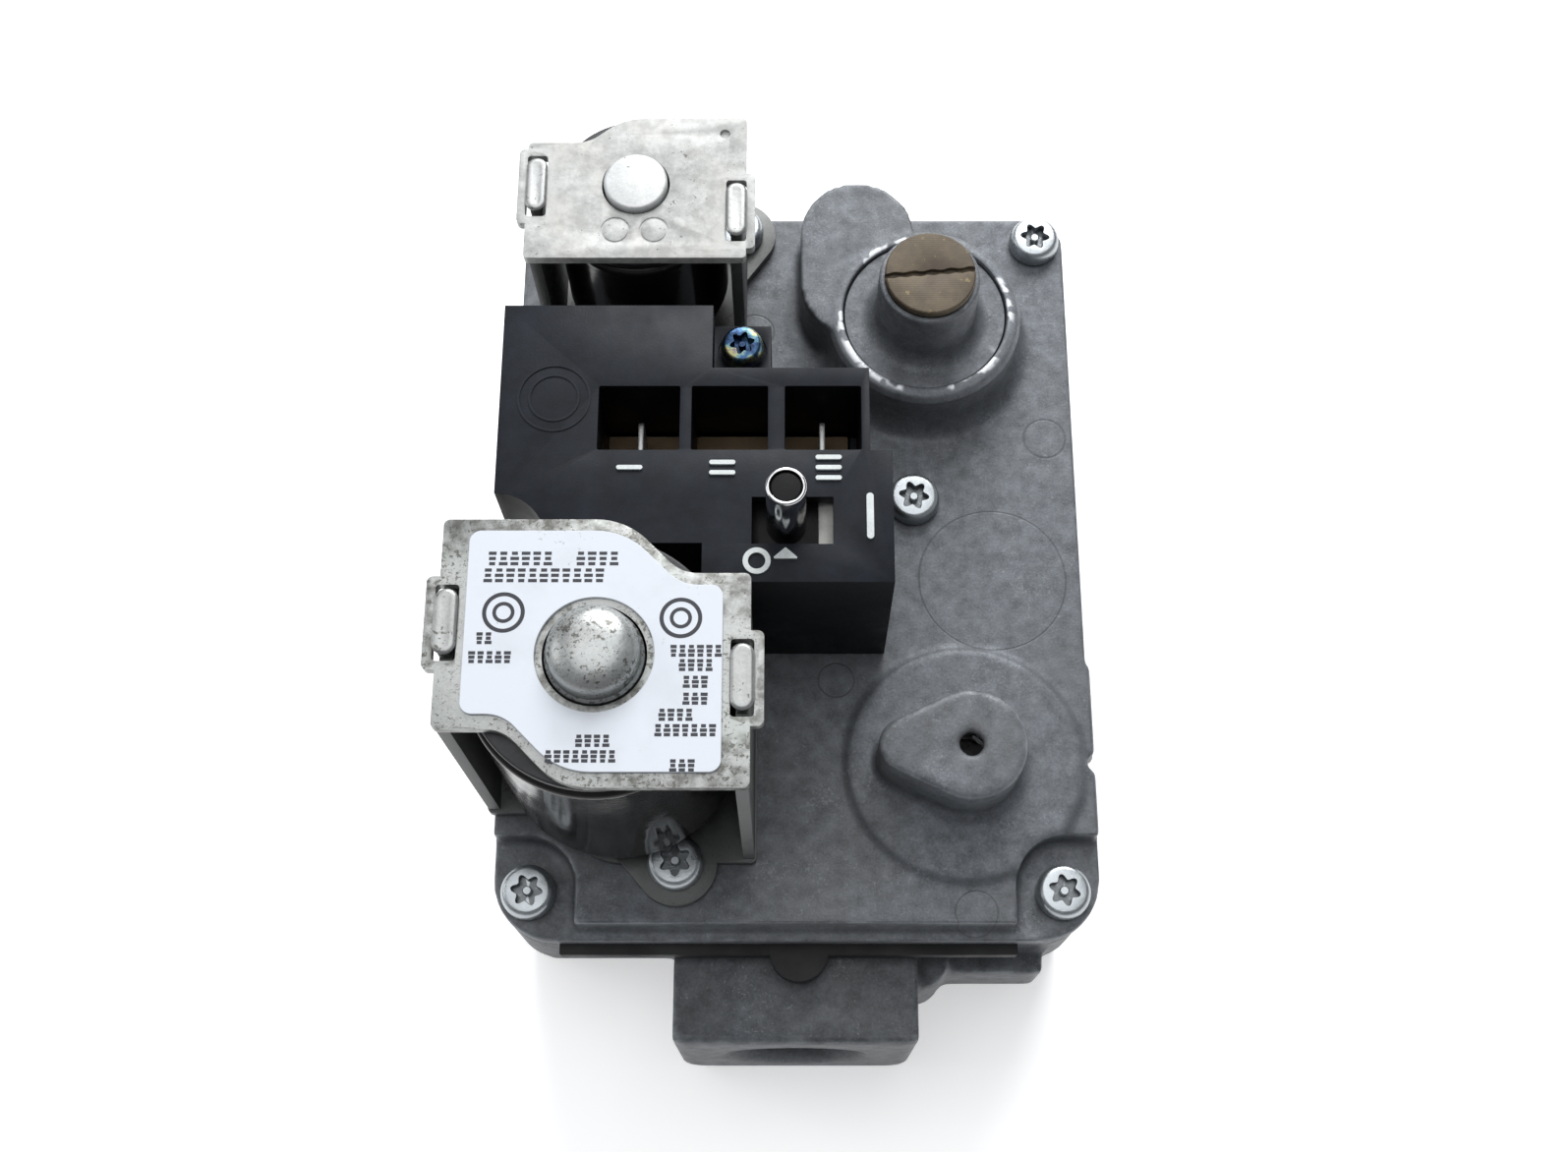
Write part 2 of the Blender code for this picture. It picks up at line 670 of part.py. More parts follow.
def rim_profile():
    """The regulator's flared rim, solid to its axis."""
    top = COVER_TOP + RIM_HEIGHT
    foot = [(0.0, COVER_TOP - OVERSHOOT), (RIM_RADIUS + RIM_FLARE, COVER_TOP - OVERSHOOT)]
    flare = []
    for turn in (0.0, pi / 8, pi / 4, pi / 2):
        radius = RIM_RADIUS + RIM_FLARE * (1 - sin(turn))
        flare.append((radius, COVER_TOP + RIM_FLARE_HEIGHT * (1 - cos(turn))))
    return foot + flare + [(RIM_RADIUS, top - 0.4), (RIM_RADIUS - 0.4, top), (0.0, top)]


def make_top_cover():
    cover = prism("top_cover", cover_outline(), COVER_BOTTOM, FLANGE_TOP, "cast_aluminium")
    sink = COVER_TOP - OVERSHOOT
    lobe = (VENT_AXIS[0] - VENT_LOBE_REACH, VENT_AXIS[1])
    boss_end = (REAR_BOSS_X, BACK + GAP - REAR_BOSS_RADIUS)
    boss_start = (REAR_BOSS_X, REGULATOR_AXIS[1] + 5.2)
    nozzle_low = COVER_BOTTOM - NOZZLE_LENGTH
    boss_outline = hull_of_circles(boss_start, REAR_BOSS_RADIUS, boss_end, REAR_BOSS_RADIUS)
    vent_outline = hull_of_circles(VENT_AXIS, VENT_BOSS_RADIUS, lobe, VENT_LOBE_RADIUS)
    add_to(
        cover,
        prism("plateau", plateau_outline(), FLANGE_TOP - OVERSHOOT, COVER_TOP),
        prism("rear_boss", boss_outline, sink, COVER_TOP + REAR_BOSS_RISE),
        turned("regulator_rim", rim_profile(), REGULATOR_AXIS, FINE),
        rod("vent_disc", VENT_AXIS, VENT_DISC_RADIUS, sink, COVER_TOP + VENT_DISC_RISE, FINE),
        prism("vent_boss", vent_outline, sink, VENT_BOSS_TOP),
        rod("regulator_nozzle", REGULATOR_AXIS, NOZZLE_RADIUS, nozzle_low, COVER_BOTTOM + OVERSHOOT),
    )
    cut_from(cover, screw_pocket(-1), screw_pocket(1))
    cut_from(cover, corner_cutter("left_corner", LEFT, -1), corner_cutter("right_corner", COVER_RIGHT, 1))
    low, high = COVER_BOTTOM - OVERSHOOT, COVER_TOP + OVERSHOOT
    recess_top = FLANGE_TOP - 0.4
    outlet_recess = rectangle(DIVIDER_RIGHT + 2.0, VENT_AXIS[0] - 19.0, FRONT + 17.0, MID_WALL_FRONT - 2.0)
    inlet_recess = rectangle(REAR_AXIS[0] + 13.0, REAR_AXIS[0] + 26.0, MID_WALL_BACK + 2.0, BACK - 13.5)
    steps_of_well = [
        (2.0, COVER_BOTTOM + 4.5),
        (WELL_RADIUS - 2.3, WELL_FLOOR),
        (WELL_RADIUS, COVER_TOP + RIM_HEIGHT + OVERSHOOT),
    ]
    steps_of_vent = [
        (DIAPHRAGM_RADIUS + GAP, DIAPHRAGM_ROOF),
        (VENT_BOSS_RADIUS - VENT_BOSS_WALL, VENT_BOSS_TOP - VENT_BOSS_WALL),
        (VENT_HOLE_RADIUS, VENT_BOSS_TOP + OVERSHOOT),
    ]
    cut_from(
        cover,
        turned("regulator_well", stepped(steps_of_well, low - NOZZLE_LENGTH), REGULATOR_AXIS, FINE),
        turned("vent_room", stepped(steps_of_vent, low), VENT_AXIS, FINE),
        rod("edge_notch", (COVER_RIGHT, VENT_AXIS[1] + 0.2), EDGE_NOTCH_RADIUS, low, high),
        prism("outlet_recess", outlet_recess, low, recess_top),
        prism("inlet_recess", inlet_recess, low, recess_top),
    )
    for name, axis in (("front", FRONT_AXIS), ("rear", REAR_AXIS)):
        cut_from(cover, rod(f"{name}_collar_hole", axis, TUBE_COLLAR_RADIUS + GAP, low, high, MEDIUM))
    for name, place in cover_screw_places().items():
        cut_from(cover, rod(f"{name}_hole", place, SCREW_RADIUS + GAP, low, high))
    for name, place in (("front_ear", front_ear()), ("rear_ear", rear_ear()), ("lug", lug_screw_place())):
        depth = COVER_TOP - SMALL_SCREW_LENGTH
        cut_from(cover, rod(f"{name}_tapping", place, SMALL_SCREW_RADIUS + GAP, depth, high))


def make_cover_screws():
    for name, place in cover_screw_places().items():
        seat = FLANGE_TOP if name.startswith("front") else COVER_TOP
        screw(f"cover_screw_{name}", place, seat + GAP)


def make_ports():
    """The inlet screen and the two tap plugs."""
    start = (0.0, BACK - 3.0, PORT_HEIGHT)
    radius = PORT_RADIUS - GAP
    screen = level_rod("inlet_screen", start, (0, 1, 0), radius, SCREEN_THICKNESS, MEDIUM, "steel")
    holes = bmesh.new()
    for ring in (0, 1, 2):
        for turn in range(max(1, 6 * ring)):
            angle = turn * pi / (3 * max(1, ring))
            centre = (ring * SCREEN_PITCH * cos(angle), ring * SCREEN_PITCH * sin(angle))
            add_prism(holes, circle(centre, SCREEN_HOLE_RADIUS, 6), -OVERSHOOT, SCREEN_THICKNESS + OVERSHOOT)
    punch = add_object("screen_holes", holes, None, start)
    punch.rotation_euler = screen.rotation_euler
    cut_from(screen, punch)
    for name, y in tap_places():
        inner = RIGHT - WALL + GAP
        socket = (inner + TAP_LENGTH / 2, y, TAP_HEIGHT)
        place = (inner, y, TAP_HEIGHT)
        plug = level_rod(f"{name}_tap_plug", place, (1, 0, 0), TAP_RADIUS, TAP_LENGTH, MEDIUM, "zinc_steel")
        cut_from(plug, level_rod(f"{name}_tap_socket", socket, (1, 0, 0), TAP_SOCKET, TAP_LENGTH, 6))


def front_ear():
    return (FRONT_AXIS[0] + 7.6, FRONT_AXIS[1] - 16.5)


def rear_ear():
    return (REAR_AXIS[0] + 13.6, REAR_AXIS[1] + 10.6)


def lug_screw_place():
    return ((BLOCK_STEP_X + LUG_RIGHT) / 2, BLOCK_STEP_Y + LUG_SCREW_BACK)


def front_plate_outline(inset=0.0):
    """The plate turns onto itself by half a turn: each long edge steps in beyond a round shoulder."""
    x, y = FRONT_PLATE_HALF
    step = FRONT_PLATE_STEP
    half = [
        (x - inset, y - step - inset, 1.0),
        (10.5, y - step - inset, 5.0),
        (3.5, y - inset, 9.0),
        (-x + inset, y - inset, 1.0),
    ]
    corners = half + [(-corner[0], -corner[1], corner[2]) for corner in half]
    return shift(round_corners(corners), front_plate_centre())


def front_plate_centre():
    return (FRONT_AXIS[0] - 0.2, FRONT_AXIS[1] + 0.7)


def rear_plate_outline(inset=0.0):
    """The plate's back edge steps in at the left beyond a round shoulder."""
    x, y = REAR_PLATE_HALF
    corners = [
        (-x + inset, -y + inset, 1.0),
        (x - inset, -y + inset, 1.0),
        (x - inset, y - inset, 1.0),
        (-2.0, y - inset, 8.0),
        (-7.0, y - REAR_PLATE_STEP - inset, 5.0),
        (-x + inset, y - REAR_PLATE_STEP - inset, 1.0),
    ]
    return shift(round_corners(corners), rear_plate_centre())


def rear_plate_centre():
    return (REAR_AXIS[0] + 0.1, REAR_AXIS[1] - 0.4)


def shift(points, offset):
    return [Vector((point[0] + offset[0], point[1] + offset[1])) for point in points]


def stake_places(which):
    """Where the frame's legs come up through the plate, left then right."""
    if which == "front":
        x, y = front_plate_centre()
        return [(x - FRONT_PLATE_HALF[0] + 1.0, y + 3.5), (x + FRONT_PLATE_HALF[0] - 1.0, y - 3.5)]
    x, y = rear_plate_centre()
    return [(x - REAR_PLATE_HALF[0] + 1.4, y + 0.2), (x + REAR_PLATE_HALF[0] - 1.4, y - 3.8)]


def make_solenoid_plate(which, outline, plate_top, hole_radius, axis):
    plate = prism(f"{which}_solenoid_plate", outline, plate_top - SHEET, plate_top, "zinc_steel")
    low, high = plate_top - SHEET - OVERSHOOT, plate_top + OVERSHOOT
    for side, (x, y) in zip(("left", "right"), stake_places(which)):
        outward = -1.0 if side == "left" else 1.0
        x0, x1 = sorted((x + outward * PLATE_TAB_ROOT, x - outward * PLATE_TAB_REACH))
        tab = rectangle(x0, x1, y - PLATE_TAB_LENGTH / 2, y + PLATE_TAB_LENGTH / 2, 0.8)
        add_to(plate, prism(f"{which}_{side}_tab", tab, plate_top - SHEET, plate_top))
    for side, (x, y) in zip(("left", "right"), stake_places(which)):
        half_x, half_y = SHEET / 2 + GAP, STAKE_LENGTH / 2 + GAP
        slot = rectangle(x - half_x, x + half_x, y - half_y, y + half_y)
        cut_from(plate, prism(f"{which}_{side}_slot", slot, low, high))
    cut_from(plate, rod(f"{which}_plate_hole", axis, hole_radius, low, high, MEDIUM))


def make_solenoid_frame(which, base_outline, ear, axis, plate_top, leg_ranges):
    """The U-shaped steel frame: a base with an ear for its screw, two legs, and a staked end on each leg."""
    top = plate_top - SHEET - GAP
    frame = prism(f"{which}_solenoid_frame", base_outline, ON_COVER, ON_COVER + SHEET, "zinc_steel")
    ear_root = (ear[0] + (axis[0] - ear[0]) * 0.45, ear[1] + (axis[1] - ear[1]) * 0.45)
    lobe = hull_of_circles(ear_root, 8.0, ear, SCREW_HEAD_RADIUS + 1.9)
    add_to(frame, prism(f"{which}_ear", lobe, ON_COVER, ON_COVER + SHEET))
    for side, (x, y), (y0, y1) in zip(("left", "right"), stake_places(which), leg_ranges):
        head_low = plate_top + GAP
        half_x, half_y = STAKE_WIDTH / 2, STAKE_LENGTH / 2
        leg = rectangle(x - SHEET / 2, x + SHEET / 2, y0 + LEG_INSET, y1 - LEG_INSET)
        tenon = rectangle(x - SHEET / 2 + 0.1, x + SHEET / 2 - 0.1, y - half_y + 0.2, y + half_y - 0.2)
        stake = rectangle(x - half_x, x + half_x, y - half_y, y + half_y, 0.7)
        add_to(
            frame,
            prism(f"{which}_{side}_leg", leg, ON_COVER + SHEET / 2, top),
            prism(f"{which}_{side}_tenon", tenon, top - OVERSHOOT, head_low + STAKE_HEAD / 2),
            prism(f"{which}_{side}_stake", stake, head_low, head_low + STAKE_HEAD),
        )
    low, high = ON_COVER - OVERSHOOT, ON_COVER + SHEET + OVERSHOOT
    cut_from(
        frame,
        rod(f"{which}_base_hole", axis, TUBE_COLLAR_RADIUS + GAP, low, high, MEDIUM),
        rod(f"{which}_ear_hole", ear, SMALL_SCREW_RADIUS + GAP, low, high),
    )


def make_solenoid_core(which, axis, tube_radius, coil_radius, plate_top, crown):
    """What stands on one axis, from the coil to the valve disc. The bobbin clears the ear's screw."""
    flange_low = ON_COVER + SHEET + GAP
    flange_high = flange_low + TUBE_FLANGE_THICKNESS
    collar_low = COVER_BOTTOM + OVERSHOOT
    under_plate = plate_top - SHEET - GAP
    bobbin_low = flange_low + SCREW_HEAD_HEIGHT + GAP
    bobbin_inner = tube_radius + GAP
    bobbin_outer = bobbin_inner + BOBBIN_WALL
    bobbin_rim = coil_radius - 0.6
    turned(
        f"{which}_bobbin",
        [
            (bobbin_inner, bobbin_low),
            (bobbin_rim, bobbin_low),
            (bobbin_rim, bobbin_low + BOBBIN_FLANGE),
            (bobbin_outer, bobbin_low + BOBBIN_FLANGE),
            (bobbin_outer, under_plate - BOBBIN_FLANGE),
            (bobbin_rim, under_plate - BOBBIN_FLANGE),
            (bobbin_rim, under_plate),
            (bobbin_inner, under_plate),
        ],
        axis,
        FINE,
        "black_plastic",
    )
    coil_low, coil_high = bobbin_low + BOBBIN_FLANGE + GAP, under_plate - BOBBIN_FLANGE - GAP
    winding = tube_profile(bobbin_outer + GAP, coil_radius, coil_low, coil_high)
    turned(f"{which}_coil", winding, axis, FINE, "coil_black")
    bore = tube_radius - TUBE_WALL
    bore_top = under_plate - 1.0
    turned(
        f"{which}_core_tube",
        [
            (bore, collar_low),
            (TUBE_COLLAR_RADIUS, collar_low),
            (TUBE_COLLAR_RADIUS, flange_low),
            (TUBE_FLANGE_RADIUS, flange_low),
            (TUBE_FLANGE_RADIUS, flange_high),
            (tube_radius, flange_high),
        ]
        + crown
        + [(0.0, bore_top), (bore, bore_top)],
        axis,
        MEDIUM,
        "zinc_steel",
    )
    core_radius = bore - GAP
    stop_high = bore_top - GAP
    stop_low = stop_high - CORE_LENGTH
    rod(f"{which}_core_stop", axis, core_radius, stop_low, stop_high, MEDIUM, "steel")
    plunger_top = stop_low - PLUNGER_TRAVEL - 1.0
    disc_low = SEAT_HEIGHT + GAP
    stem_low = disc_low + VALVE_DISC_THICKNESS + GAP
    spring_radius = core_radius * 0.5
    wire = 0.3
    pocket_radius = spring_radius + wire + GAP
    pocket_floor = plunger_top - 7.0
    turned(
        f"{which}_plunger",
        [
            (0.0, stem_low),
            (VALVE_DISC_RADIUS - 1.6, stem_low),
            (VALVE_DISC_RADIUS - 1.6, stem_low + 1.2),
            (STEM_RADIUS, stem_low + 1.2),
            (STEM_RADIUS, flange_high),
            (core_radius, flange_high + 1.0),
            (core_radius, plunger_top),
            (pocket_radius, plunger_top),
            (pocket_radius, pocket_floor),
            (0.0, pocket_floor),
        ],
        axis,
        MEDIUM,
        "steel",
    )
    disc_high = disc_low + VALVE_DISC_THICKNESS
    rod(f"{which}_valve_disc", axis, VALVE_DISC_RADIUS, disc_low, disc_high, MEDIUM, "rubber")
    spring(f"{which}_plunger_spring", axis, spring_radius, wire, pocket_floor + GAP, stop_low - GAP, 4)


def make_front_solenoid():
    ear = front_ear()
    x, y = front_plate_centre()
    half_x, half_y = FRONT_PLATE_HALF
    top = FRONT_PLATE_TOP
    make_solenoid_plate("front", front_plate_outline(), top, FRONT_TUBE_RADIUS + GAP, FRONT_AXIS)
    legs = [(y - half_y + FRONT_PLATE_STEP, y + half_y), (y - half_y, y + half_y - FRONT_PLATE_STEP)]
    make_solenoid_frame("front", front_plate_outline(), ear, FRONT_AXIS, top, legs)
    turns = [pi / 12 * step for step in range(6)]
    dome = [(FRONT_TUBE_RADIUS * cos(turn), top + FRONT_DOME_HEIGHT * sin(turn)) for turn in turns]
    dome.append((0.0, top + FRONT_DOME_HEIGHT))
    make_solenoid_core("front", FRONT_AXIS, FRONT_TUBE_RADIUS, FRONT_COIL_RADIUS, top, dome)
    screw("front_solenoid_screw", ear, ON_COVER + SHEET + GAP, SMALL_SCREW_RADIUS, SMALL_SCREW_LENGTH)
    reach = half_x - LABEL_SIDE_MARGIN
    sticker = []
    for point in front_plate_outline(LABEL_MARGIN):
        sticker.append(Vector((min(max(point.x, x - reach), x + reach), point.y)))
    label_low = top + GAP
    label_high = label_low + LABEL_THICKNESS
    label = prism("front_label", without_repeats(sticker), label_low, label_high, "white_label")
    cut_from(label, rod("label_hole", FRONT_AXIS, LABEL_HOLE_RADIUS, top - OVERSHOOT, top + OVERSHOOT, FINE))


def without_repeats(points):
    return [point for index, point in enumerate(points) if (point - points[index - 1]).length > 0.01]


def make_rear_solenoid():
    ear = rear_ear()
    x, y = rear_plate_centre()
    half_x, half_y = REAR_PLATE_HALF
    top = REAR_PLATE_TOP
    make_solenoid_plate("rear", rear_plate_outline(), top, REAR_TUBE_RADIUS + GAP, REAR_AXIS)
    base = rectangle(x - half_x + 0.6, x + half_x - 0.6, y - half_y, REAR_BASE_BACK, 1.0)
    legs = [(y - half_y, REAR_BASE_BACK - 1.0), (y - half_y, REAR_BASE_BACK)]
    make_solenoid_frame("rear", base, ear, REAR_AXIS, top, legs)
    crown = [
        (REAR_TUBE_RADIUS, top + REAR_TUBE_RISE - 0.5),
        (REAR_TUBE_RADIUS - 0.5, top + REAR_TUBE_RISE),
        (0.0, top + REAR_TUBE_RISE),
    ]
    make_solenoid_core("rear", REAR_AXIS, REAR_TUBE_RADIUS, REAR_COIL_RADIUS, top, crown)
    screw("rear_solenoid_screw", ear, ON_COVER + SHEET + GAP, SMALL_SCREW_RADIUS, SMALL_SCREW_LENGTH)


def block_outline(inset=0.0):
    """The block's plan: wide at the back, stepped at the regulator, notched round the front solenoid."""
    waist = BLOCK_RIGHT - BLOCK_WAIST
    left, right = BLOCK_LEFT + inset, BLOCK_RIGHT - inset
    narrow = BLOCK_NARROW_LEFT + inset
    radius = BLOCK_NOTCH + inset
    notch_low = BLOCK_NOTCH_Y - BLOCK_NOTCH
    turns = [radians(15 * step) for step in range(7)]
    arc = [(BLOCK_LEFT + radius * sin(turn), notch_low + radius * cos(turn)) for turn in turns]
    outline = [
        (left, BLOCK_BACK - inset),
        (left, BLOCK_NOTCH_Y + inset),
    ]
    outline += [(x, y) for x, y in arc if x > left]
    outline += [
        (BLOCK_LEFT + radius, notch_low + inset),
        (narrow, notch_low + inset),
        (narrow, BLOCK_FRONT + inset),
        (right, BLOCK_FRONT + inset),
        (right, CAVITY_FRONT - inset),
        (waist - inset, CAVITY_FRONT - inset),
        (waist - inset, BLOCK_STEP_Y - inset),
        (BLOCK_STEP_X - inset, BLOCK_STEP_Y - inset),
        (BLOCK_STEP_X - inset, BLOCK_BACK - inset),
    ]
    return [Vector(point) for point in outline]


def terminal_x(position):
    """Centre of a terminal cavity; position runs from -1 to 1."""
    return TERMINAL_MIDDLE_X + position * TERMINAL_PITCH


def make_terminal_block():
    housing = prism("terminal_block", block_outline(), ON_COVER, BLOCK_TOP, "black_plastic")
    lug_x, lug_y = lug_screw_place()
    lug = rectangle(BLOCK_STEP_X - 1.0, LUG_RIGHT, BLOCK_STEP_Y - 1.0, LUG_BACK)
    add_to(housing, prism("lug", lug, ON_COVER, LUG_TOP))
    low = ON_COVER - OVERSHOOT
    roof = BLOCK_TOP - BLOCK_WALL
    wall = BLOCK_WALL
    cut_from(
        housing,
        prism("block_hollow", block_outline(wall), low, BOARD_TOP + GAP),
        block(
            "switch_room",
            BLOCK_NARROW_LEFT + wall,
            BLOCK_RIGHT - wall,
            BLOCK_FRONT + wall,
            CAVITY_FRONT - CAVITY_WALL,
            BOARD_TOP - OVERSHOOT,
            roof,
        ),
        block("lever_slot", *SLOT_X, *SLOT_Y, roof - OVERSHOOT, BLOCK_TOP + OVERSHOOT),
    )
    for position in (-1, 0, 1):
        x = terminal_x(position)
        half = CAVITY_WIDTH / 2
        mouth = rectangle(x - half, x + half, CAVITY_FRONT, CAVITY_FRONT + CAVITY_LENGTH)
        name = f"cavity_{position + 2}"
        cut_from(housing, prism(name, mouth, BOARD_TOP - OVERSHOOT, BLOCK_TOP + OVERSHOOT))
    cut_from(housing, rod("lug_bore", (lug_x, lug_y), SMALL_SCREW_RADIUS + GAP, low, LUG_TOP + OVERSHOOT))


def make_terminals():
    """The board under the cavities and the spade terminals of the two outer ones."""
    x0 = terminal_x(-1) - CAVITY_WIDTH / 2 - 1.5
    x1 = BLOCK_RIGHT - BLOCK_WAIST - BLOCK_WALL - GAP
    y0, y1 = CAVITY_FRONT - 2.0, CAVITY_FRONT + CAVITY_LENGTH - GAP
    board_low = BOARD_TOP - BOARD_THICKNESS
    board = block("terminal_board", x0, x1, y0, y1, board_low, BOARD_TOP, "board")
    y = CAVITY_FRONT + CAVITY_LENGTH / 2
    low = BOARD_TOP + GAP
    half_x, half_y, tail = SPADE_THICKNESS / 2, SPADE_WIDTH / 2, SPADE_TAIL / 2
    for position, label in ((-1, "left"), (1, "right")):
        x = terminal_x(position)
        slot = rectangle(x - half_x - GAP, x + half_x + GAP, y - tail - GAP, y + tail + GAP)
        cut_from(board, prism(f"{label}_slot", slot, board_low - OVERSHOOT, BOARD_TOP + OVERSHOOT))
        blade = rectangle(x - half_x, x + half_x, y - half_y, y + half_y)
        foot = rectangle(x - half_x, x + half_x, y - tail, y + tail)
        terminal = prism(f"terminal_tab_{label}", blade, low, low + SPADE_HEIGHT, "zinc_steel")
        add_to(terminal, prism(f"{label}_foot", foot, board_low - 3.0, low + OVERSHOOT))


def make_switch():
    """The lever rides on a slider under the block's roof, which carries a contact blade under it."""
    x, y = LEVER_CENTRE
    collar_top = BLOCK_TOP - BLOCK_WALL - GAP
    collar_low = collar_top - COLLAR_THICKNESS
    slider_top = collar_low - GAP
    slider_low = slider_top - SLIDER_THICKNESS
    slider_right = SLIDER_LEFT + 2 * (SLOT_X[1] - x) + 3.4
    plate = rectangle(SLIDER_LEFT - x, slider_right - x, -SLIDER_HALF_WIDTH, SLIDER_HALF_WIDTH)
    add_object("switch_slider", prism_mesh(plate, slider_low, slider_top), "white_nylon", (x, y, 0.0))
    inner = LEVER_RADIUS - LEVER_WALL
    core_top = LEVER_TOP - 0.4
    core = rod("switch_lever_core", LEVER_CENTRE, inner - 0.1, collar_low, core_top, COARSE, "black_plastic")
    collar = rectangle(x - 5.6, x + LEVER_RADIUS + 1.7, y - 4.0, y + 4.0)
    add_to(core, prism("lever_collar", collar, collar_low, collar_top))
    turned(
        "switch_lever",
        [
            (inner + 0.2, collar_top + GAP),
            (LEVER_RADIUS, collar_top + GAP),
            (LEVER_RADIUS, LEVER_TOP - 0.3),
            (LEVER_RADIUS - 0.3, LEVER_TOP),
            (inner + 0.2, LEVER_TOP),
        ],
        LEVER_CENTRE,
        MEDIUM,
        "chrome",
    )
    half_x, half_y = BLADE_HALF
    blade_top = slider_low - GAP
    blade_low = blade_top - BLADE_THICKNESS
    contact_low = blade_top - CONTACT_DEPTH
    strip = prism_mesh(rectangle(-half_x, half_x, -half_y, half_y), blade_low, blade_top)
    blade = add_object("switch_contact", strip, "brass", (x, y, 0.0))
    for side in (-1, 1):
        point = (x + side * CONTACT_REACH, y)
        add_to(blade, rod(f"contact_point_{side + 1}", point, 1.0, contact_low, blade_low + 0.1))
    for name, offset in (("left", -CONTACT_REACH), ("right", CONTACT_REACH + SWITCH_TRAVEL)):
        rod(f"switch_post_{name}", (x + offset, y), 1.4, ON_COVER + 4.0, contact_low - GAP, COARSE, "brass")


def make_block_screw():
    x, y = lug_screw_place()
    length = LUG_TOP - COVER_TOP + SMALL_SCREW_LENGTH - 1.0
    screw("block_screw", (x, y), LUG_TOP + GAP, SMALL_SCREW_RADIUS, length, LUG_SCREW_HEAD)


def make_regulator():
    """Bonnet, cap with its seal, adjusting screw, spring with its seat, diaphragm and its valve."""
    bore = ADJUSTER_RADIUS + GAP
    thread = CAP_THREAD_RADIUS + GAP
    diaphragm_low = WELL_FLOOR + GAP
    diaphragm_top = diaphragm_low + 0.8
    skirt_low = diaphragm_top + GAP
    outer = WELL_RADIUS - GAP
    seal_floor = TOWER_TOP - 1.3
    shoulder = TOWER_TOP - CAP_THREAD_LENGTH - 0.6
    inner_roof = COVER_TOP + 5.5
    turned(
        "regulator_bonnet",
        [
            (outer - 1.2, skirt_low),
            (outer, skirt_low),
            (outer, BONNET_TOP),
            (outer - 1.2, BONNET_TOP),
            (TOWER_RADIUS + 1.6, BONNET_TOP - 1.4),
            (TOWER_RADIUS + 0.4, BONNET_TOP - 1.0),
            (TOWER_RADIUS, BONNET_TOP),
            (TOWER_RADIUS, TOWER_TOP - 0.3),
            (TOWER_RADIUS - 0.3, TOWER_TOP),
            (CAP_RADIUS, TOWER_TOP),
            (CAP_RADIUS, seal_floor),
            (thread, seal_floor),
            (thread, shoulder),
            (bore, shoulder),
            (bore, inner_roof),
            (outer - 1.2, inner_roof),
        ],
        REGULATOR_AXIS,
        FINE,
        "cast_aluminium",
    )
    seal_low = seal_floor + GAP
    seal_top = seal_low + 0.9
    turned(
        "regulator_cap_seal",
        tube_profile(CAP_THREAD_RADIUS + GAP, CAP_RADIUS - GAP, seal_low, seal_top),
        REGULATOR_AXIS,
        MEDIUM,
        "rubber",
    )
    head_low = seal_top + GAP
    cap_top = TOWER_TOP + CAP_HEIGHT
    thread_low = TOWER_TOP - CAP_THREAD_LENGTH
    cap = turned(
        "regulator_cap",
        [
            (0.0, thread_low),
            (CAP_THREAD_RADIUS, thread_low),
            (CAP_THREAD_RADIUS, head_low),
            (CAP_RADIUS - GAP, head_low),
            (CAP_RADIUS - GAP, TOWER_TOP + GAP),
            (CAP_RADIUS, TOWER_TOP + GAP),
            (CAP_RADIUS, cap_top - 0.2),
            (CAP_RADIUS - 0.2, cap_top),
            (0.0, cap_top),
        ],
        REGULATOR_AXIS,
        FINE,
        "brass",
    )
    groove = rectangle(-CAP_RADIUS - 1.0, CAP_RADIUS + 1.0, -CAP_SLOT_WIDTH / 2, CAP_SLOT_WIDTH / 2)
    cutter = prism_mesh(groove, cap_top - CAP_SLOT_DEPTH, cap_top + OVERSHOOT)
    slot = add_object("cap_slot", cutter, None, (*REGULATOR_AXIS, 0.0))
    slot.rotation_euler.z = radians(CAP_SLOT_ANGLE)
    cut_from(cap, slot)
    adjuster_top = thread_low - ADJUSTER_TRAVEL - 0.5
    adjuster_low = adjuster_top - ADJUSTER_LENGTH
    plug = rod_profile(ADJUSTER_RADIUS, adjuster_low, adjuster_top)
    adjuster = turned("regulator_adjuster", plug, REGULATOR_AXIS, MEDIUM, "white_nylon")
    groove = prism_mesh(rectangle(-3.5, 3.5, -0.6, 0.6), adjuster_top - 1.2, adjuster_top + OVERSHOOT)
    cut_from(adjuster, add_object("adjuster_slot", groove, None, (*REGULATOR_AXIS, 0.0)))
    seat_top = adjuster_low - GAP
    seat_low = seat_top - 0.7
    rod("regulator_spring_seat", REGULATOR_AXIS, ADJUSTER_RADIUS - 0.4, seat_low, seat_top, MEDIUM, "steel")
    plate_low = skirt_low
    plate_top = plate_low + 0.9
    spring("regulator_spring", REGULATOR_AXIS, 3.3, 0.4, plate_top + GAP, seat_low - GAP, 4)
    turned(
        "regulator_diaphragm",
        tube_profile(1.0 + GAP, outer, diaphragm_low, diaphragm_top),
        REGULATOR_AXIS,
        MEDIUM,
        "rubber",
    )
    nozzle_low = COVER_BOTTOM - NOZZLE_LENGTH
    disc_top = nozzle_low - GAP - 0.5
    disc_low = disc_top - 1.4
    turned(
        "regulator_stem",
        [
            (0.0, disc_top + GAP),
            (1.0, disc_top + GAP),
            (1.0, plate_low),
            (7.0, plate_low),
            (7.0, plate_top),
            (0.0, plate_top),
        ],
        REGULATOR_AXIS,
        COARSE,
        "steel",
    )
    rod("regulator_valve_disc", REGULATOR_AXIS, 3.4, disc_low, disc_top, COARSE, "rubber")


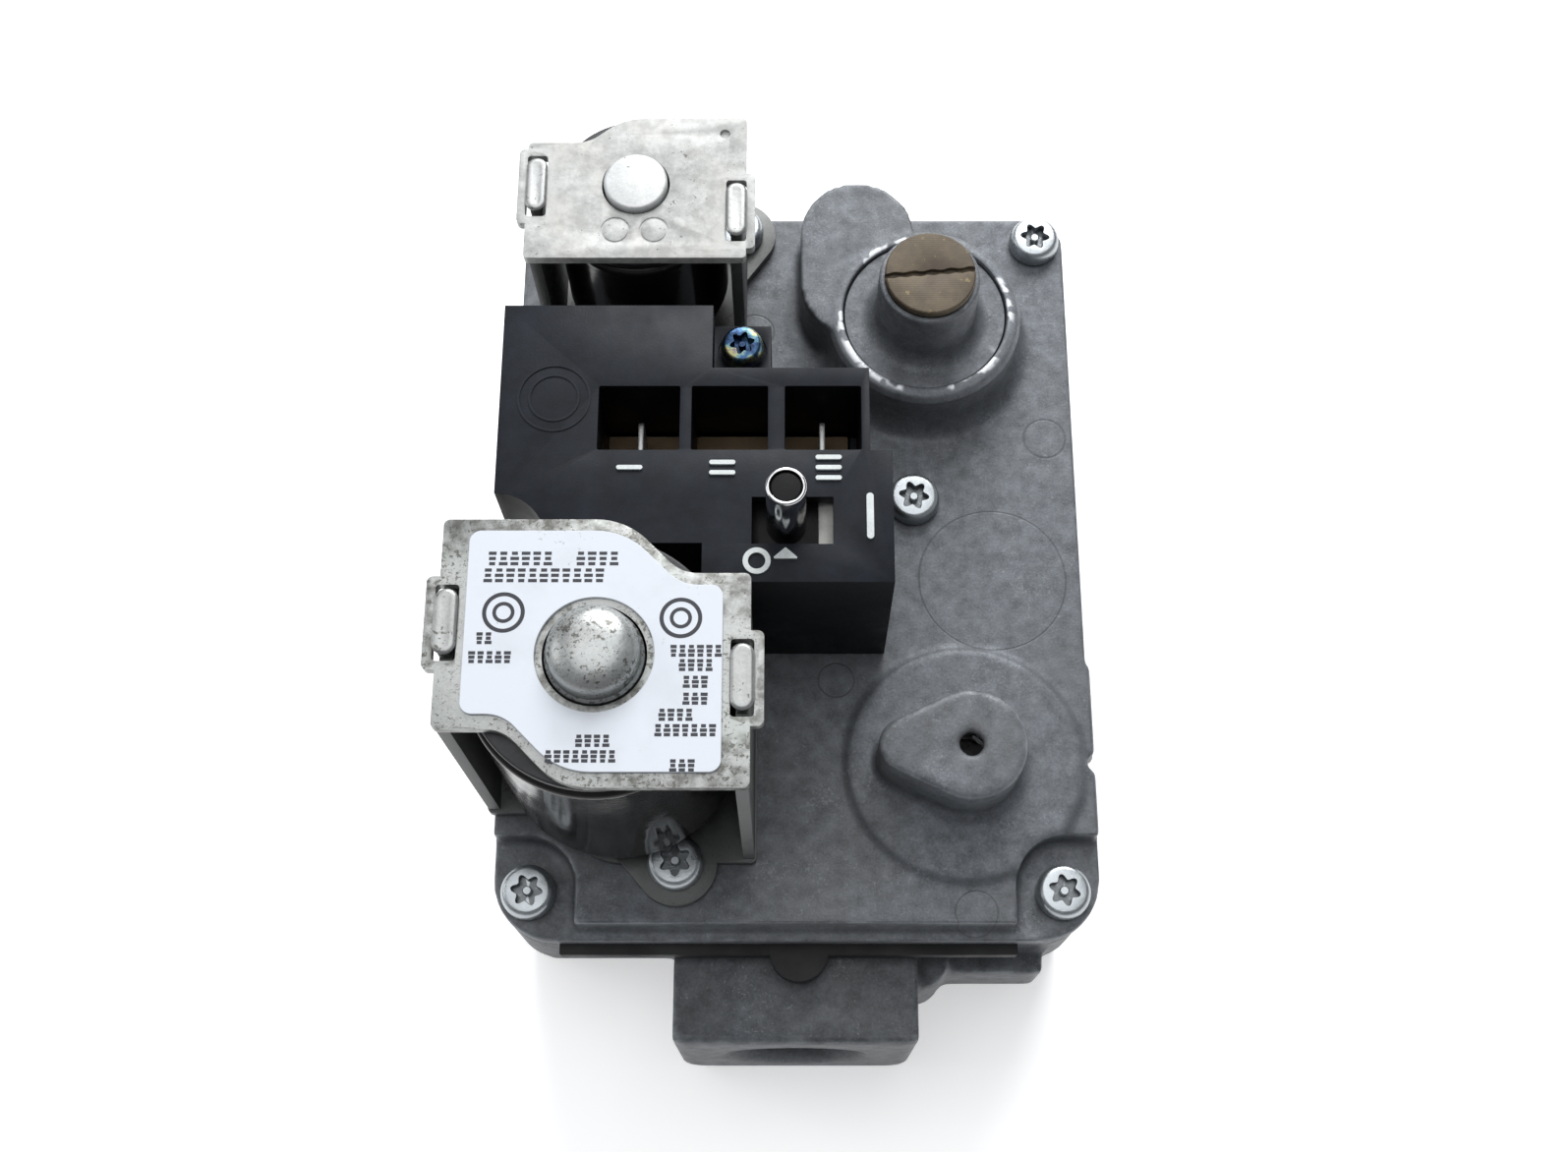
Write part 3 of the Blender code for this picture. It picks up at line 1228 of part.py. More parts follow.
def make_main_valve():
    """The diaphragm, its plate and stem, the valve disc and the closing spring in the vent boss."""
    rim_low = COVER_BOTTOM + GAP
    web = 0.7
    middle_low = rim_low + 1.2
    fold_end = DIAPHRAGM_RADIUS - DIAPHRAGM_BEAD - 1.2
    turned(
        "main_diaphragm",
        [
            (1.2 + GAP, middle_low),
            (fold_end - DIAPHRAGM_FOLD, middle_low),
            (fold_end, rim_low),
            (DIAPHRAGM_RADIUS, rim_low),
            (DIAPHRAGM_RADIUS, rim_low + 1.8),
            (DIAPHRAGM_RADIUS - DIAPHRAGM_BEAD, rim_low + 1.8),
            (DIAPHRAGM_RADIUS - DIAPHRAGM_BEAD, rim_low + web),
            (fold_end + 0.4, rim_low + web),
            (fold_end + 0.4 - DIAPHRAGM_FOLD, middle_low + web),
            (1.2 + GAP, middle_low + web),
        ],
        VENT_AXIS,
        FINE,
        "rubber",
    )
    plate_radius = VENT_BOSS_RADIUS - VENT_BOSS_WALL - GAP
    plate_low = middle_low + web + GAP
    plate_top = plate_low + 0.7
    spring_top = VENT_BOSS_TOP - VENT_BOSS_WALL - GAP
    disc_low = MAIN_SEAT_HEIGHT + GAP
    disc_top = disc_low + 2.2
    # The plate rises into the vent boss when the valve opens, so it is narrower than the boss's room.
    turned(
        "main_valve_stem",
        [
            (0.0, disc_top + GAP),
            (4.5, disc_top + GAP),
            (4.5, disc_top + GAP + 0.8),
            (1.2, disc_top + GAP + 0.8),
            (1.2, plate_low),
            (plate_radius, plate_low),
            (plate_radius, plate_top),
            (0.0, plate_top),
        ],
        VENT_AXIS,
        MEDIUM,
        "steel",
    )
    rod("main_valve_disc", VENT_AXIS, MAIN_SEAT_BORE + 1.8, disc_low, disc_top, MEDIUM, "rubber")
    spring("main_valve_spring", VENT_AXIS, 4.8, 0.4, plate_top + GAP, spring_top, 4)


def main():
    clear_scene()
    make_lower_body()
    make_body_gasket()
    make_top_cover()
    make_cover_screws()
    make_ports()
    make_front_solenoid()
    make_rear_solenoid()
    make_terminal_block()
    make_terminals()
    make_switch()
    make_block_screw()
    make_regulator()
    make_main_valve()


main()
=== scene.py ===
"""Looks of the two-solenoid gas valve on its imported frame: castings, sheet steel, coils, switch, regulator.

Lengths in the mesh code are in millimetres in the frame's own axes and become metres when a mesh is made.
"""

import json
import math

import bmesh
import bpy
from mathutils import Matrix, Vector


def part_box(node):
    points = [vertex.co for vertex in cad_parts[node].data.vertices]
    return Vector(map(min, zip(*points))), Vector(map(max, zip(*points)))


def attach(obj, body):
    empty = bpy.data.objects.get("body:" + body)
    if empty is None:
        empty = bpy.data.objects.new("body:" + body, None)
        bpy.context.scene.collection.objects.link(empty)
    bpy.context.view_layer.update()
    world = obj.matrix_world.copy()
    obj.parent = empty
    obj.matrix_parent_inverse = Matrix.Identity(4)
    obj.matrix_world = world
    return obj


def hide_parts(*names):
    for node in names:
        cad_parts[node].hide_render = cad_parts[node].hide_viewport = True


bl_info = {
    "name": "Gas Valve Looks",
    "version": (1, 0, 0),
    "blender": (4, 5, 0),
    "location": "View3D > Sidebar > Gas Valve",
    "description": "Builds the finished surfaces of a two-solenoid gas valve on its packed frame",
    "category": "Object",
}

MM = 0.001
GAP = 0.3
PAST = 1.0
ROUND = 96
ROOT = "valve_body"

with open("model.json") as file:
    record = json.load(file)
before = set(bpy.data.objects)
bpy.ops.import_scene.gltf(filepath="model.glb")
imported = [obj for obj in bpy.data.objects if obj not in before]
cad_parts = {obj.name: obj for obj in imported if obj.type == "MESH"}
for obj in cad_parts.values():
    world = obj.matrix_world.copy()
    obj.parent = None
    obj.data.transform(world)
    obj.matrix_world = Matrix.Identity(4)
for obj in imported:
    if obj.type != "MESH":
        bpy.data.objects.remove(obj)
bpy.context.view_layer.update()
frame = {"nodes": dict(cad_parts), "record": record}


def box_of(node):
    """Lowest and highest corners of a frame node, in millimetres."""
    low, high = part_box(node)
    return Vector(low) / MM, Vector(high) / MM


def middle_of(node):
    low, high = box_of(node)
    return (low + high) / 2


BODY_LOW, BODY_HIGH = box_of("lower_body")
GASKET_LOW, GASKET_HIGH = box_of("body_gasket")
BLOCK_LOW, BLOCK_HIGH = box_of("terminal_block")
COVER_LOW, COVER_HIGH = box_of("top_cover")
COVER_BOTTOM = GASKET_HIGH.z + GAP
ON_COVER = BLOCK_LOW.z
COVER_TOP = ON_COVER - GAP
FLANGE_TOP = COVER_BOTTOM + 3.0
LEFT = COVER_LOW.x
RIGHT = COVER_HIGH.x - 0.3
FRONT = COVER_LOW.y
BACK = COVER_HIGH.y - GAP
REGULATOR = middle_of("regulator_bonnet").xy
VENT = middle_of("main_diaphragm").xy
AXES = {"front": middle_of("front_core_tube").xy, "rear": middle_of("rear_core_tube").xy}
PLATE_TOPS = {which: box_of(f"{which}_solenoid_plate")[1].z for which in AXES}
SHEET = 1.6


# Settings that a user would change.


class CastingSettings(bpy.types.PropertyGroup):
    colour: bpy.props.FloatVectorProperty(
        name="Casting colour",
        description="Colour of the die-cast metal between its light and dark patches",
        subtype="COLOR",
        size=4,
        min=0.0,
        max=1.0,
        default=(0.128, 0.138, 0.152, 1.0),
    )
    worn_colour: bpy.props.FloatVectorProperty(
        name="Worn edge colour",
        description="Colour of the bare metal on rubbed edges",
        subtype="COLOR",
        size=4,
        min=0.0,
        max=1.0,
        default=(0.36, 0.38, 0.40, 1.0),
    )
    cover_grain: bpy.props.FloatProperty(
        name="Cover mesh size",
        description="Size of the mesh cells that round the cover's cast edges",
        unit="LENGTH",
        subtype="DISTANCE",
        min=0.0003,
        max=0.002,
        precision=5,
        default=0.0005,
    )
    body_grain: bpy.props.FloatProperty(
        name="Body mesh size",
        description="Size of the mesh cells that round the lower body's cast edges",
        unit="LENGTH",
        subtype="DISTANCE",
        min=0.0004,
        max=0.002,
        precision=5,
        default=0.0008,
    )


class SolenoidSettings(bpy.types.PropertyGroup):
    zinc_colour: bpy.props.FloatVectorProperty(
        name="Zinc colour",
        description="Colour of the plated sheet steel",
        subtype="COLOR",
        size=4,
        min=0.0,
        max=1.0,
        default=(0.47, 0.48, 0.475, 1.0),
    )
    sheet_edge: bpy.props.FloatProperty(
        name="Sheet edge",
        description="Radius of the rolled edges of the sheet steel",
        unit="LENGTH",
        subtype="DISTANCE",
        min=0.00005,
        max=0.0006,
        precision=5,
        default=0.00028,
    )
    coil_colour: bpy.props.FloatVectorProperty(
        name="Coil colour",
        description="Colour of the glossy coil casing",
        subtype="COLOR",
        size=4,
        min=0.0,
        max=1.0,
        default=(0.0075, 0.007, 0.0068, 1.0),
    )
    print_height: bpy.props.FloatProperty(
        name="Print height",
        description="Height of the printed bars on the label",
        unit="LENGTH",
        subtype="DISTANCE",
        min=0.0003,
        max=0.003,
        precision=5,
        default=0.00042,
    )


class BlockSettings(bpy.types.PropertyGroup):
    plastic_colour: bpy.props.FloatVectorProperty(
        name="Block colour",
        description="Colour of the moulded terminal block",
        subtype="COLOR",
        size=4,
        min=0.0,
        max=1.0,
        default=(0.0025, 0.003, 0.0042, 1.0),
    )
    mark_colour: bpy.props.FloatVectorProperty(
        name="Mark colour",
        description="Colour of the raised marks on the block",
        subtype="COLOR",
        size=4,
        min=0.0,
        max=1.0,
        default=(0.62, 0.66, 0.66, 1.0),
    )
    moulded_edge: bpy.props.FloatProperty(
        name="Moulded edge",
        description="Radius of the block's edges",
        unit="LENGTH",
        subtype="DISTANCE",
        min=0.00005,
        max=0.001,
        precision=5,
        default=0.00035,
    )
    mark_rise: bpy.props.FloatProperty(
        name="Mark rise",
        description="How far the marks stand above the block",
        unit="LENGTH",
        subtype="DISTANCE",
        min=0.00005,
        max=0.001,
        precision=5,
        default=0.00035,
    )


class StageSettings(bpy.types.PropertyGroup):
    camera_height: bpy.props.FloatProperty(
        name="Camera height",
        description="Height of the camera above the valve's bottom face",
        unit="LENGTH",
        subtype="DISTANCE",
        default=0.307,
    )
    camera_back: bpy.props.FloatProperty(
        name="Camera distance",
        description="How far the camera stands in front of the valve's middle",
        unit="LENGTH",
        subtype="DISTANCE",
        default=0.099,
    )
    camera_tilt: bpy.props.FloatProperty(
        name="Camera tilt",
        description="Angle of the camera below the horizon",
        unit="ROTATION",
        subtype="ANGLE",
        default=math.radians(69.87),
    )
    lens: bpy.props.FloatProperty(
        name="Lens",
        description="Focal length of the camera",
        unit="CAMERA",
        subtype="DISTANCE_CAMERA",
        default=42.76,
    )
    floor_colour: bpy.props.FloatVectorProperty(
        name="Floor colour",
        description="Colour of the pale floor",
        subtype="COLOR",
        size=4,
        min=0.0,
        max=1.0,
        default=(0.95, 0.95, 0.95, 1.0),
    )


# Mesh helpers.


def round_corners(corners, step=9.0):
    """Points of an outline given as (x, y) or (x, y, radius), each round corner an arc."""
    points = []
    count = len(corners)
    for index, corner in enumerate(corners):
        here = Vector(corner[:2])
        radius = corner[2] if len(corner) > 2 else 0.0
        if not radius:
            points.append(here)
            continue
        before = (Vector(corners[index - 1][:2]) - here).normalized()
        after = (Vector(corners[(index + 1) % count][:2]) - here).normalized()
        half = before.angle(after) / 2
        centre = here + (before + after).normalized() * radius / math.sin(half)
        spoke = here + before * radius / math.tan(half) - centre
        sweep = math.pi - 2 * half
        turn = 1.0 if before.cross(after) < 0 else -1.0
        steps = max(1, math.ceil(math.degrees(sweep) / step))
        for number in range(steps + 1):
            points.append(centre + Matrix.Rotation(turn * sweep * number / steps, 2) @ spoke)
    return points


def rectangle(x0, x1, y0, y1, radius=0.0):
    return round_corners([(x0, y0, radius), (x1, y0, radius), (x1, y1, radius), (x0, y1, radius)])


def hull_of_circles(first, first_radius, second, second_radius):
    """Outline of two circles and the straight tangents between them."""
    line = Vector(second) - Vector(first)
    heading = math.atan2(line.y, line.x)
    lean = math.pi / 2 - (first_radius - second_radius) / line.length
    points = []
    for centre, radius, start, sweep in (
        (first, first_radius, heading + lean, 2 * math.pi - 2 * lean),
        (second, second_radius, heading - lean, 2 * lean),
    ):
        steps = max(4, math.ceil(ROUND * sweep / (2 * math.pi)))
        for number in range(steps + 1):
            angle = start + sweep * number / steps
            points.append(
                Vector((centre[0] + radius * math.cos(angle), centre[1] + radius * math.sin(angle)))
            )
    return points


def add_prism(made, outline, z0, z1):
    low = [made.verts.new((point[0], point[1], z0)) for point in outline]
    high = [made.verts.new((point[0], point[1], z1)) for point in outline]
    made.faces.new(reversed(low))
    made.faces.new(high)
    for index in range(len(low)):
        after = (index + 1) % len(low)
        made.faces.new((low[index], low[after], high[after], high[index]))


def prism(outline, z0, z1):
    made = bmesh.new()
    add_prism(made, outline, z0, z1)
    return made


def slab(x0, x1, y0, y1, z0, z1, radius=0.0):
    return prism(rectangle(x0, x1, y0, y1, radius), z0, z1)


def stack_of_rings(rings, closed):
    """Joins rings of equal length, or single points at the axis, into a skin."""
    made = bmesh.new()
    loops = [[made.verts.new(point) for point in ring] for ring in rings]
    pairs = list(zip(loops, loops[1:]))
    if closed:
        pairs.append((loops[-1], loops[0]))
    for ring, after in pairs:
        for number in range(max(len(ring), len(after))):
            other = number + 1
            corners = [ring[number % len(ring)], ring[other % len(ring)]]
            corners += [after[other % len(after)], after[number % len(after)]]
            corners = list(dict.fromkeys(corners))
            if len(corners) > 2:
                made.faces.new(corners)
    return made


def turned(profile, axis, segments=ROUND):
    """A solid of revolution. The profile is a closed loop of (radius, z) or (radius, z, fillet)."""
    rings = []
    for point in round_corners(profile, 18.0):
        if point.x < 1e-6:
            rings.append([(axis[0], axis[1], point.y)])
            continue
        turns = [2 * math.pi * number / segments for number in range(segments)]
        rings.append(
            [(axis[0] + point.x * math.cos(a), axis[1] + point.x * math.sin(a), point.y) for a in turns]
        )
    return stack_of_rings(rings, True)


def rod(axis, radius, z0, z1, fillet=0.0, segments=ROUND):
    return turned([(0.0, z0), (radius, z0, fillet), (radius, z1, fillet), (0.0, z1)], axis, segments)


def lay_down(made, origin, direction):
    """Turns a mesh made along +Z at the origin so that it runs along direction from origin."""
    turn = Vector(direction).to_track_quat("Z", "Y").to_matrix().to_4x4()
    made.transform(Matrix.Translation(Vector(origin)) @ turn)
    return made


def new_object(name, made, material=None):
    """Makes an object in metres from a bmesh in millimetres, with its faces outwards."""
    bmesh.ops.recalc_face_normals(made, faces=made.faces)
    made.transform(Matrix.Scale(MM, 4))
    mesh = bpy.data.meshes.new(name)
    made.to_mesh(mesh)
    made.free()
    if material:
        mesh.materials.append(material)
    item = bpy.data.objects.new(name, mesh)
    bpy.context.scene.collection.objects.link(item)
    return item


def combine(item, tools, operation):
    """Adds or cuts each bmesh in tools with a Boolean. Returns the helper objects."""
    helpers = []
    for tool in tools:
        helper = new_object(f"{item.name}_tool", tool)
        modifier = item.modifiers.new("Shape", "BOOLEAN")
        modifier.operation = operation
        modifier.object = helper
        modifier.solver = "EXACT"
        helpers.append(helper)
    return helpers


def settle(item, helpers=(), smooth_angle=35.0):
    """Turns the object's evaluated shape into its plain mesh and removes its modifiers and helpers."""
    bpy.context.view_layer.update()
    graph = bpy.context.evaluated_depsgraph_get()
    mesh = bpy.data.meshes.new_from_object(item.evaluated_get(graph), depsgraph=graph)
    item.modifiers.clear()
    item.data = mesh
    for helper in helpers:
        bpy.data.objects.remove(helper, do_unlink=True)
    mesh.shade_smooth()
    mesh.set_sharp_from_angle(angle=math.radians(smooth_angle))
    return item


def bevel(item, width, segments=2, angle=35.0):
    modifier = item.modifiers.new("Edges", "BEVEL")
    modifier.width = width
    modifier.segments = segments
    modifier.limit_method = "ANGLE"
    modifier.angle_limit = math.radians(angle)
    modifier.use_clamp_overlap = True


def shaped(name, base, material, add=(), cut=(), edge=0.0, segments=2):
    """A piece from a base solid, solids joined to it, cutters and rolled edges, in metres for edge."""
    item = new_object(name, base, material)
    helpers = combine(item, add, "UNION") + combine(item, cut, "DIFFERENCE")
    if edge:
        settle(item, helpers)
        helpers = ()
        bevel(item, edge, segments)
    return settle(item, helpers)


def cast(name, base, material, add, cut, cell, keep, add_inside=(), cut_inside=()):
    """A casting: Booleans in this order, then an even mesh with soft edges, its flats thinned."""
    item = new_object(name, base, material)
    helpers = combine(item, add, "UNION") + combine(item, cut, "DIFFERENCE")
    helpers += combine(item, add_inside, "UNION") + combine(item, cut_inside, "DIFFERENCE")
    settle(item, helpers)
    remesh = item.modifiers.new("Even", "REMESH")
    remesh.mode = "VOXEL"
    remesh.voxel_size = cell
    soften = item.modifiers.new("Soften", "SMOOTH")
    soften.factor = 0.5
    soften.iterations = 4
    thin = item.modifiers.new("Thin", "DECIMATE")
    thin.ratio = keep
    settle(item, smooth_angle=180.0)
    if not item.data.materials:
        item.data.materials.append(material)
    return item


def joined(name, solids, material):
    """One piece from several closed meshes that don't meet."""
    whole = bmesh.new()
    for solid in solids:
        bmesh.ops.recalc_face_normals(solid, faces=solid.faces)
        part = bpy.data.meshes.new("part")
        solid.to_mesh(part)
        solid.free()
        whole.from_mesh(part)
        bpy.data.meshes.remove(part)
    item = new_object(name, whole, material)
    item.data.shade_smooth()
    item.data.set_sharp_from_angle(angle=math.radians(35))
    return item


def place(item, body, slot, *nodes):
    """Rides a finished piece on a body and hides the frame nodes that it stands for. The slot, naming its
    finish, is not used.
    """
    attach(item, body)
    if nodes:
        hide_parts(*nodes)
    return item


# Node helpers.


def add_node(tree, kind, values=None, **settings):
    """Adds a node, sets its own settings, and sets or links its inputs by name or number."""
    made = tree.nodes.new(kind)
    for key, value in settings.items():
        setattr(made, key, value)
    for key, value in (values or {}).items():
        if isinstance(value, bpy.types.NodeSocket):
            tree.links.new(value, made.inputs[key])
        else:
            made.inputs[key].default_value = value
    return made


def ramp(tree, factor, stops):
    """A colour ramp with (position, colour) stops."""
    made = add_node(tree, "ShaderNodeValToRGB", {"Fac": factor})
    elements = made.color_ramp.elements
    while len(elements) < len(stops):
        elements.new(0.5)
    for element, (position, colour) in zip(elements, stops):
        element.position = position
        element.color = colour if len(colour) == 4 else (*colour, 1.0)
    return made.outputs["Color"]


def span(tree, value, low, high, to_low=0.0, to_high=1.0):
    """Stretches a value between two limits and holds it there."""
    values = {"Value": value, "From Min": low, "From Max": high, "To Min": to_low, "To Max": to_high}
    return add_node(tree, "ShaderNodeMapRange", values, clamp=True).outputs["Result"]


def mix(tree, factor, first, second, blend="MIX"):
    made = add_node(tree, "ShaderNodeMix", data_type="RGBA", blend_type=blend)
    for key, value in ((0, factor), (6, first), (7, second)):
        if isinstance(value, bpy.types.NodeSocket):
            tree.links.new(value, made.inputs[key])
        else:
            made.inputs[key].default_value = value
    return made.outputs[2]


def maths(tree, operation, first, second=0.0):
    return add_node(tree, "ShaderNodeMath", {0: first, 1: second}, operation=operation).outputs[0]


def noise(tree, where, scale, detail=4.0, roughness=0.55):
    values = {"Vector": where, "Scale": scale, "Detail": detail, "Roughness": roughness}
    return add_node(tree, "ShaderNodeTexNoise", values).outputs["Fac"]


def group_tree(name, inputs, outputs):
    """A shader group with (name, kind, default) inputs and (name, kind) outputs."""
    tree = bpy.data.node_groups.new(name, "ShaderNodeTree")
    for label, kind, default in inputs:
        socket = tree.interface.new_socket(label, in_out="INPUT", socket_type=f"NodeSocket{kind}")
        socket.default_value = default
    for label, kind in outputs:
        tree.interface.new_socket(label, in_out="OUTPUT", socket_type=f"NodeSocket{kind}")
    return tree, tree.nodes.new("NodeGroupInput").outputs, tree.nodes.new("NodeGroupOutput").inputs


def mottle_group():
    """Soft patches with fine grain, as on cast or blasted metal."""
    name = "Mottle"
    if name in bpy.data.node_groups:
        return bpy.data.node_groups[name]
    inputs = [
        ("Colour", "Color", (0.2, 0.2, 0.2, 1.0)),
        ("Patch Scale", "Float", 200.0),
        ("Grain Scale", "Float", 2500.0),
        ("Contrast", "Float", 0.3),
    ]
    tree, given, result = group_tree(
        name, inputs, [("Colour", "Color"), ("Tone", "Float"), ("Height", "Float")]
    )
    where = add_node(tree, "ShaderNodeTexCoord").outputs["Object"]
    patch = noise(tree, where, given["Patch Scale"], 3.0, 0.6)
    grain = noise(tree, where, given["Grain Scale"], 2.0, 0.6)
    tone = maths(tree, "ADD", maths(tree, "MULTIPLY", patch, 0.6), maths(tree, "MULTIPLY", grain, 0.4))
    spread = maths(tree, "MULTIPLY", maths(tree, "SUBTRACT", tone, 0.5), given["Contrast"])
    light = maths(tree, "ADD", maths(tree, "MULTIPLY", spread, 4.0), 1.0)
    shade = add_node(tree, "ShaderNodeVectorMath", {0: given["Colour"], "Scale": light}, operation="SCALE")
    tree.links.new(shade.outputs["Vector"], result["Colour"])
    tree.links.new(tone, result["Tone"])
    tree.links.new(grain, result["Height"])
    return tree


def wear_and_shade_group():
    """A mask of the rubbed convex edges, broken up by noise, and one of the hollows, where shade is painted
    in.
    """
    name = "Edge Wear"
    if name in bpy.data.node_groups:
        return bpy.data.node_groups[name]
    inputs = [("Start", "Float", 0.52), ("Full", "Float", 0.58), ("Break Scale", "Float", 400.0)]
    tree, given, result = group_tree(name, inputs, [("Edge", "Float"), ("Hollow", "Float")])
    where = add_node(tree, "ShaderNodeTexCoord").outputs["Object"]
    point = add_node(tree, "ShaderNodeNewGeometry").outputs["Pointiness"]
    edge = span(tree, point, given["Start"], given["Full"])
    breaks = span(tree, noise(tree, where, given["Break Scale"]), 0.38, 0.62)
    tree.links.new(maths(tree, "MULTIPLY", edge, breaks), result["Edge"])
    # The hollows mask, where shade is painted in.
    tree.links.new(span(tree, point, 0.485, 0.43), result["Hollow"])
    return tree


def speckle_group():
    """A mask of small dark specks of two sizes."""
    name = "Specks"
    if name in bpy.data.node_groups:
        return bpy.data.node_groups[name]
    inputs = [("Scale", "Float", 1500.0), ("Amount", "Float", 0.5), ("Cluster Scale", "Float", 120.0)]
    tree, given, result = group_tree(name, inputs, [("Mask", "Float")])
    where = add_node(tree, "ShaderNodeTexCoord").outputs["Object"]
    fine = noise(tree, where, given["Scale"], 2.0, 0.7)
    cluster = noise(tree, where, given["Cluster Scale"], 3.0, 0.6)
    level = maths(tree, "ADD", fine, maths(tree, "MULTIPLY", maths(tree, "SUBTRACT", cluster, 0.5), 0.6))
    edge = maths(tree, "SUBTRACT", 1.0, maths(tree, "MULTIPLY", given["Amount"], 0.5))
    tree.links.new(span(tree, level, edge, maths(tree, "ADD", edge, 0.05)), result["Mask"])
    return tree


def dust_and_sheen_group():
    """A thin mask that lightens faces that look up: a pale dusting, and painted sheen where the light falls
    on tops.
    """
    name = "Dust"
    if name in bpy.data.node_groups:
        return bpy.data.node_groups[name]
    tree, given, result = group_tree(
        name, [("Amount", "Float", 0.3), ("Scale", "Float", 300.0)], [("Mask", "Float")]
    )
    where = add_node(tree, "ShaderNodeTexCoord").outputs["Object"]
    facing = add_node(tree, "ShaderNodeNewGeometry").outputs["Normal"]
    up = span(tree, add_node(tree, "ShaderNodeSeparateXYZ", {0: facing}).outputs["Z"], 0.2, 1.0)
    cloud = span(tree, noise(tree, where, given["Scale"], 5.0, 0.7), 0.3, 0.75, 0.35, 1.0)
    mask = maths(tree, "MULTIPLY", maths(tree, "MULTIPLY", up, cloud), given["Amount"])
    tree.links.new(mask, result["Mask"])
    return tree


def use_group(tree, group, values=None):
    made = add_node(tree, "ShaderNodeGroup", node_tree=group)
    for key, value in (values or {}).items():
        if isinstance(value, bpy.types.NodeSocket):
            tree.links.new(value, made.inputs[key])
        else:
            made.inputs[key].default_value = value
    return made.outputs


def start_material(name):
    """An existing material, or a new one with its tree and shader."""
    if name in bpy.data.materials:
        return bpy.data.materials[name], None, None
    material = bpy.data.materials.new(name)
    material.use_nodes = True
    tree = material.node_tree
    return material, tree, tree.nodes["Principled BSDF"]


def feed(tree, shader, **values):
    """Sets or links shader inputs; underscores stand for spaces."""
    for key, value in values.items():
        socket = shader.inputs[key.replace("_", " ")]
        if isinstance(value, bpy.types.NodeSocket):
            tree.links.new(value, socket)
        else:
            socket.default_value = value


def add_bump(tree, shader, height, distance, strength=1.0):
    values = {"Height": height, "Distance": distance, "Strength": strength}
    bump = add_node(tree, "ShaderNodeBump", values)
    tree.links.new(bump.outputs["Normal"], shader.inputs["Normal"])


# Finishes.


def ring_marks(tree, where, marks):
    """A mask of thin circles, each (x, y, radius, width), left by the die's pins and inserts."""
    spot = add_node(tree, "ShaderNodeSeparateXYZ", {0: where})
    total = None
    for x, y, radius, width in marks:
        across = maths(tree, "SUBTRACT", spot.outputs["X"], x * MM)
        along = maths(tree, "SUBTRACT", spot.outputs["Y"], y * MM)
        reach = maths(
            tree,
            "SQRT",
            maths(tree, "ADD", maths(tree, "POWER", across, 2.0), maths(tree, "POWER", along, 2.0)),
        )
        away = maths(tree, "ABSOLUTE", maths(tree, "SUBTRACT", reach, radius * MM))
        mask = span(tree, away, 0.0, width * MM, 1.0, 0.0)
        total = mask if total is None else maths(tree, "MAXIMUM", total, mask)
    return total


def cast_metal(name="cast_metal", darker=1.0, wear_start=0.515, wear_full=0.56, marks=(), rubbed=()):
    material, tree, shader = start_material(name)
    if not tree:
        return material
    looks = bpy.context.scene.valve_castings
    colour = [channel * darker for channel in looks.colour[:3]] + [1.0]
    values = {"Colour": colour, "Patch Scale": 420.0, "Grain Scale": 3000.0, "Contrast": 0.46}
    mottle = use_group(tree, mottle_group(), values)
    wear_and_shade = use_group(tree, wear_and_shade_group(), {"Start": wear_start, "Full": wear_full, "Break Scale": 350.0})
    specks = use_group(tree, speckle_group(), {"Scale": 2300.0, "Amount": 0.70, "Cluster Scale": 130.0})
    where = add_node(tree, "ShaderNodeTexCoord").outputs["Object"]
    stain = span(tree, noise(tree, where, 38.0, 5.0, 0.65), 0.42, 0.72, 0.0, 0.45)
    stained = mix(
        tree, stain, mottle["Colour"], [channel * darker for channel in (0.108, 0.106, 0.102)] + [1.0]
    )
    specked = mix(tree, maths(tree, "MULTIPLY", specks["Mask"], 0.35), stained, (0.27, 0.28, 0.30, 1.0))
    # Painted shade: the casting's hollows are darkened.
    shaded_in_hollows = mix(tree, maths(tree, "MULTIPLY", wear_and_shade["Hollow"], 0.6), specked, (0.035, 0.037, 0.040, 1.0))
    worn = mix(tree, maths(tree, "MULTIPLY", wear_and_shade["Edge"], 0.65), shaded_in_hollows, looks.worn_colour)
    rough = span(tree, mottle["Tone"], 0.3, 0.7, 0.60, 0.44)
    fine = noise(tree, where, 2600.0, 3.0, 0.65)
    broad = noise(tree, where, 600.0, 2.0)
    height = maths(tree, "ADD", maths(tree, "MULTIPLY", fine, 0.6), maths(tree, "MULTIPLY", broad, 0.4))
    if marks:
        rings = ring_marks(tree, where, marks)
        worn = mix(tree, maths(tree, "MULTIPLY", rings, 0.42), worn, (0.05, 0.052, 0.055, 1.0))
        height = maths(tree, "SUBTRACT", height, maths(tree, "MULTIPLY", rings, 0.8))
    if rubbed:
        patches = span(tree, noise(tree, where, 140.0, 3.0, 0.6), 0.47, 0.55)
        shine = maths(tree, "MULTIPLY", ring_marks(tree, where, rubbed), patches)
        worn = mix(tree, span(tree, shine, 0.25, 0.6), worn, (0.62, 0.64, 0.67, 1.0))
        rough = mix(tree, shine, rough, (0.26, 0.26, 0.26, 1.0))
    feed(tree, shader, Base_Color=worn, Roughness=rough, Metallic=0.35, Specular_IOR_Level=0.35)
    add_bump(tree, shader, height, 0.00011, 0.5)
    return material


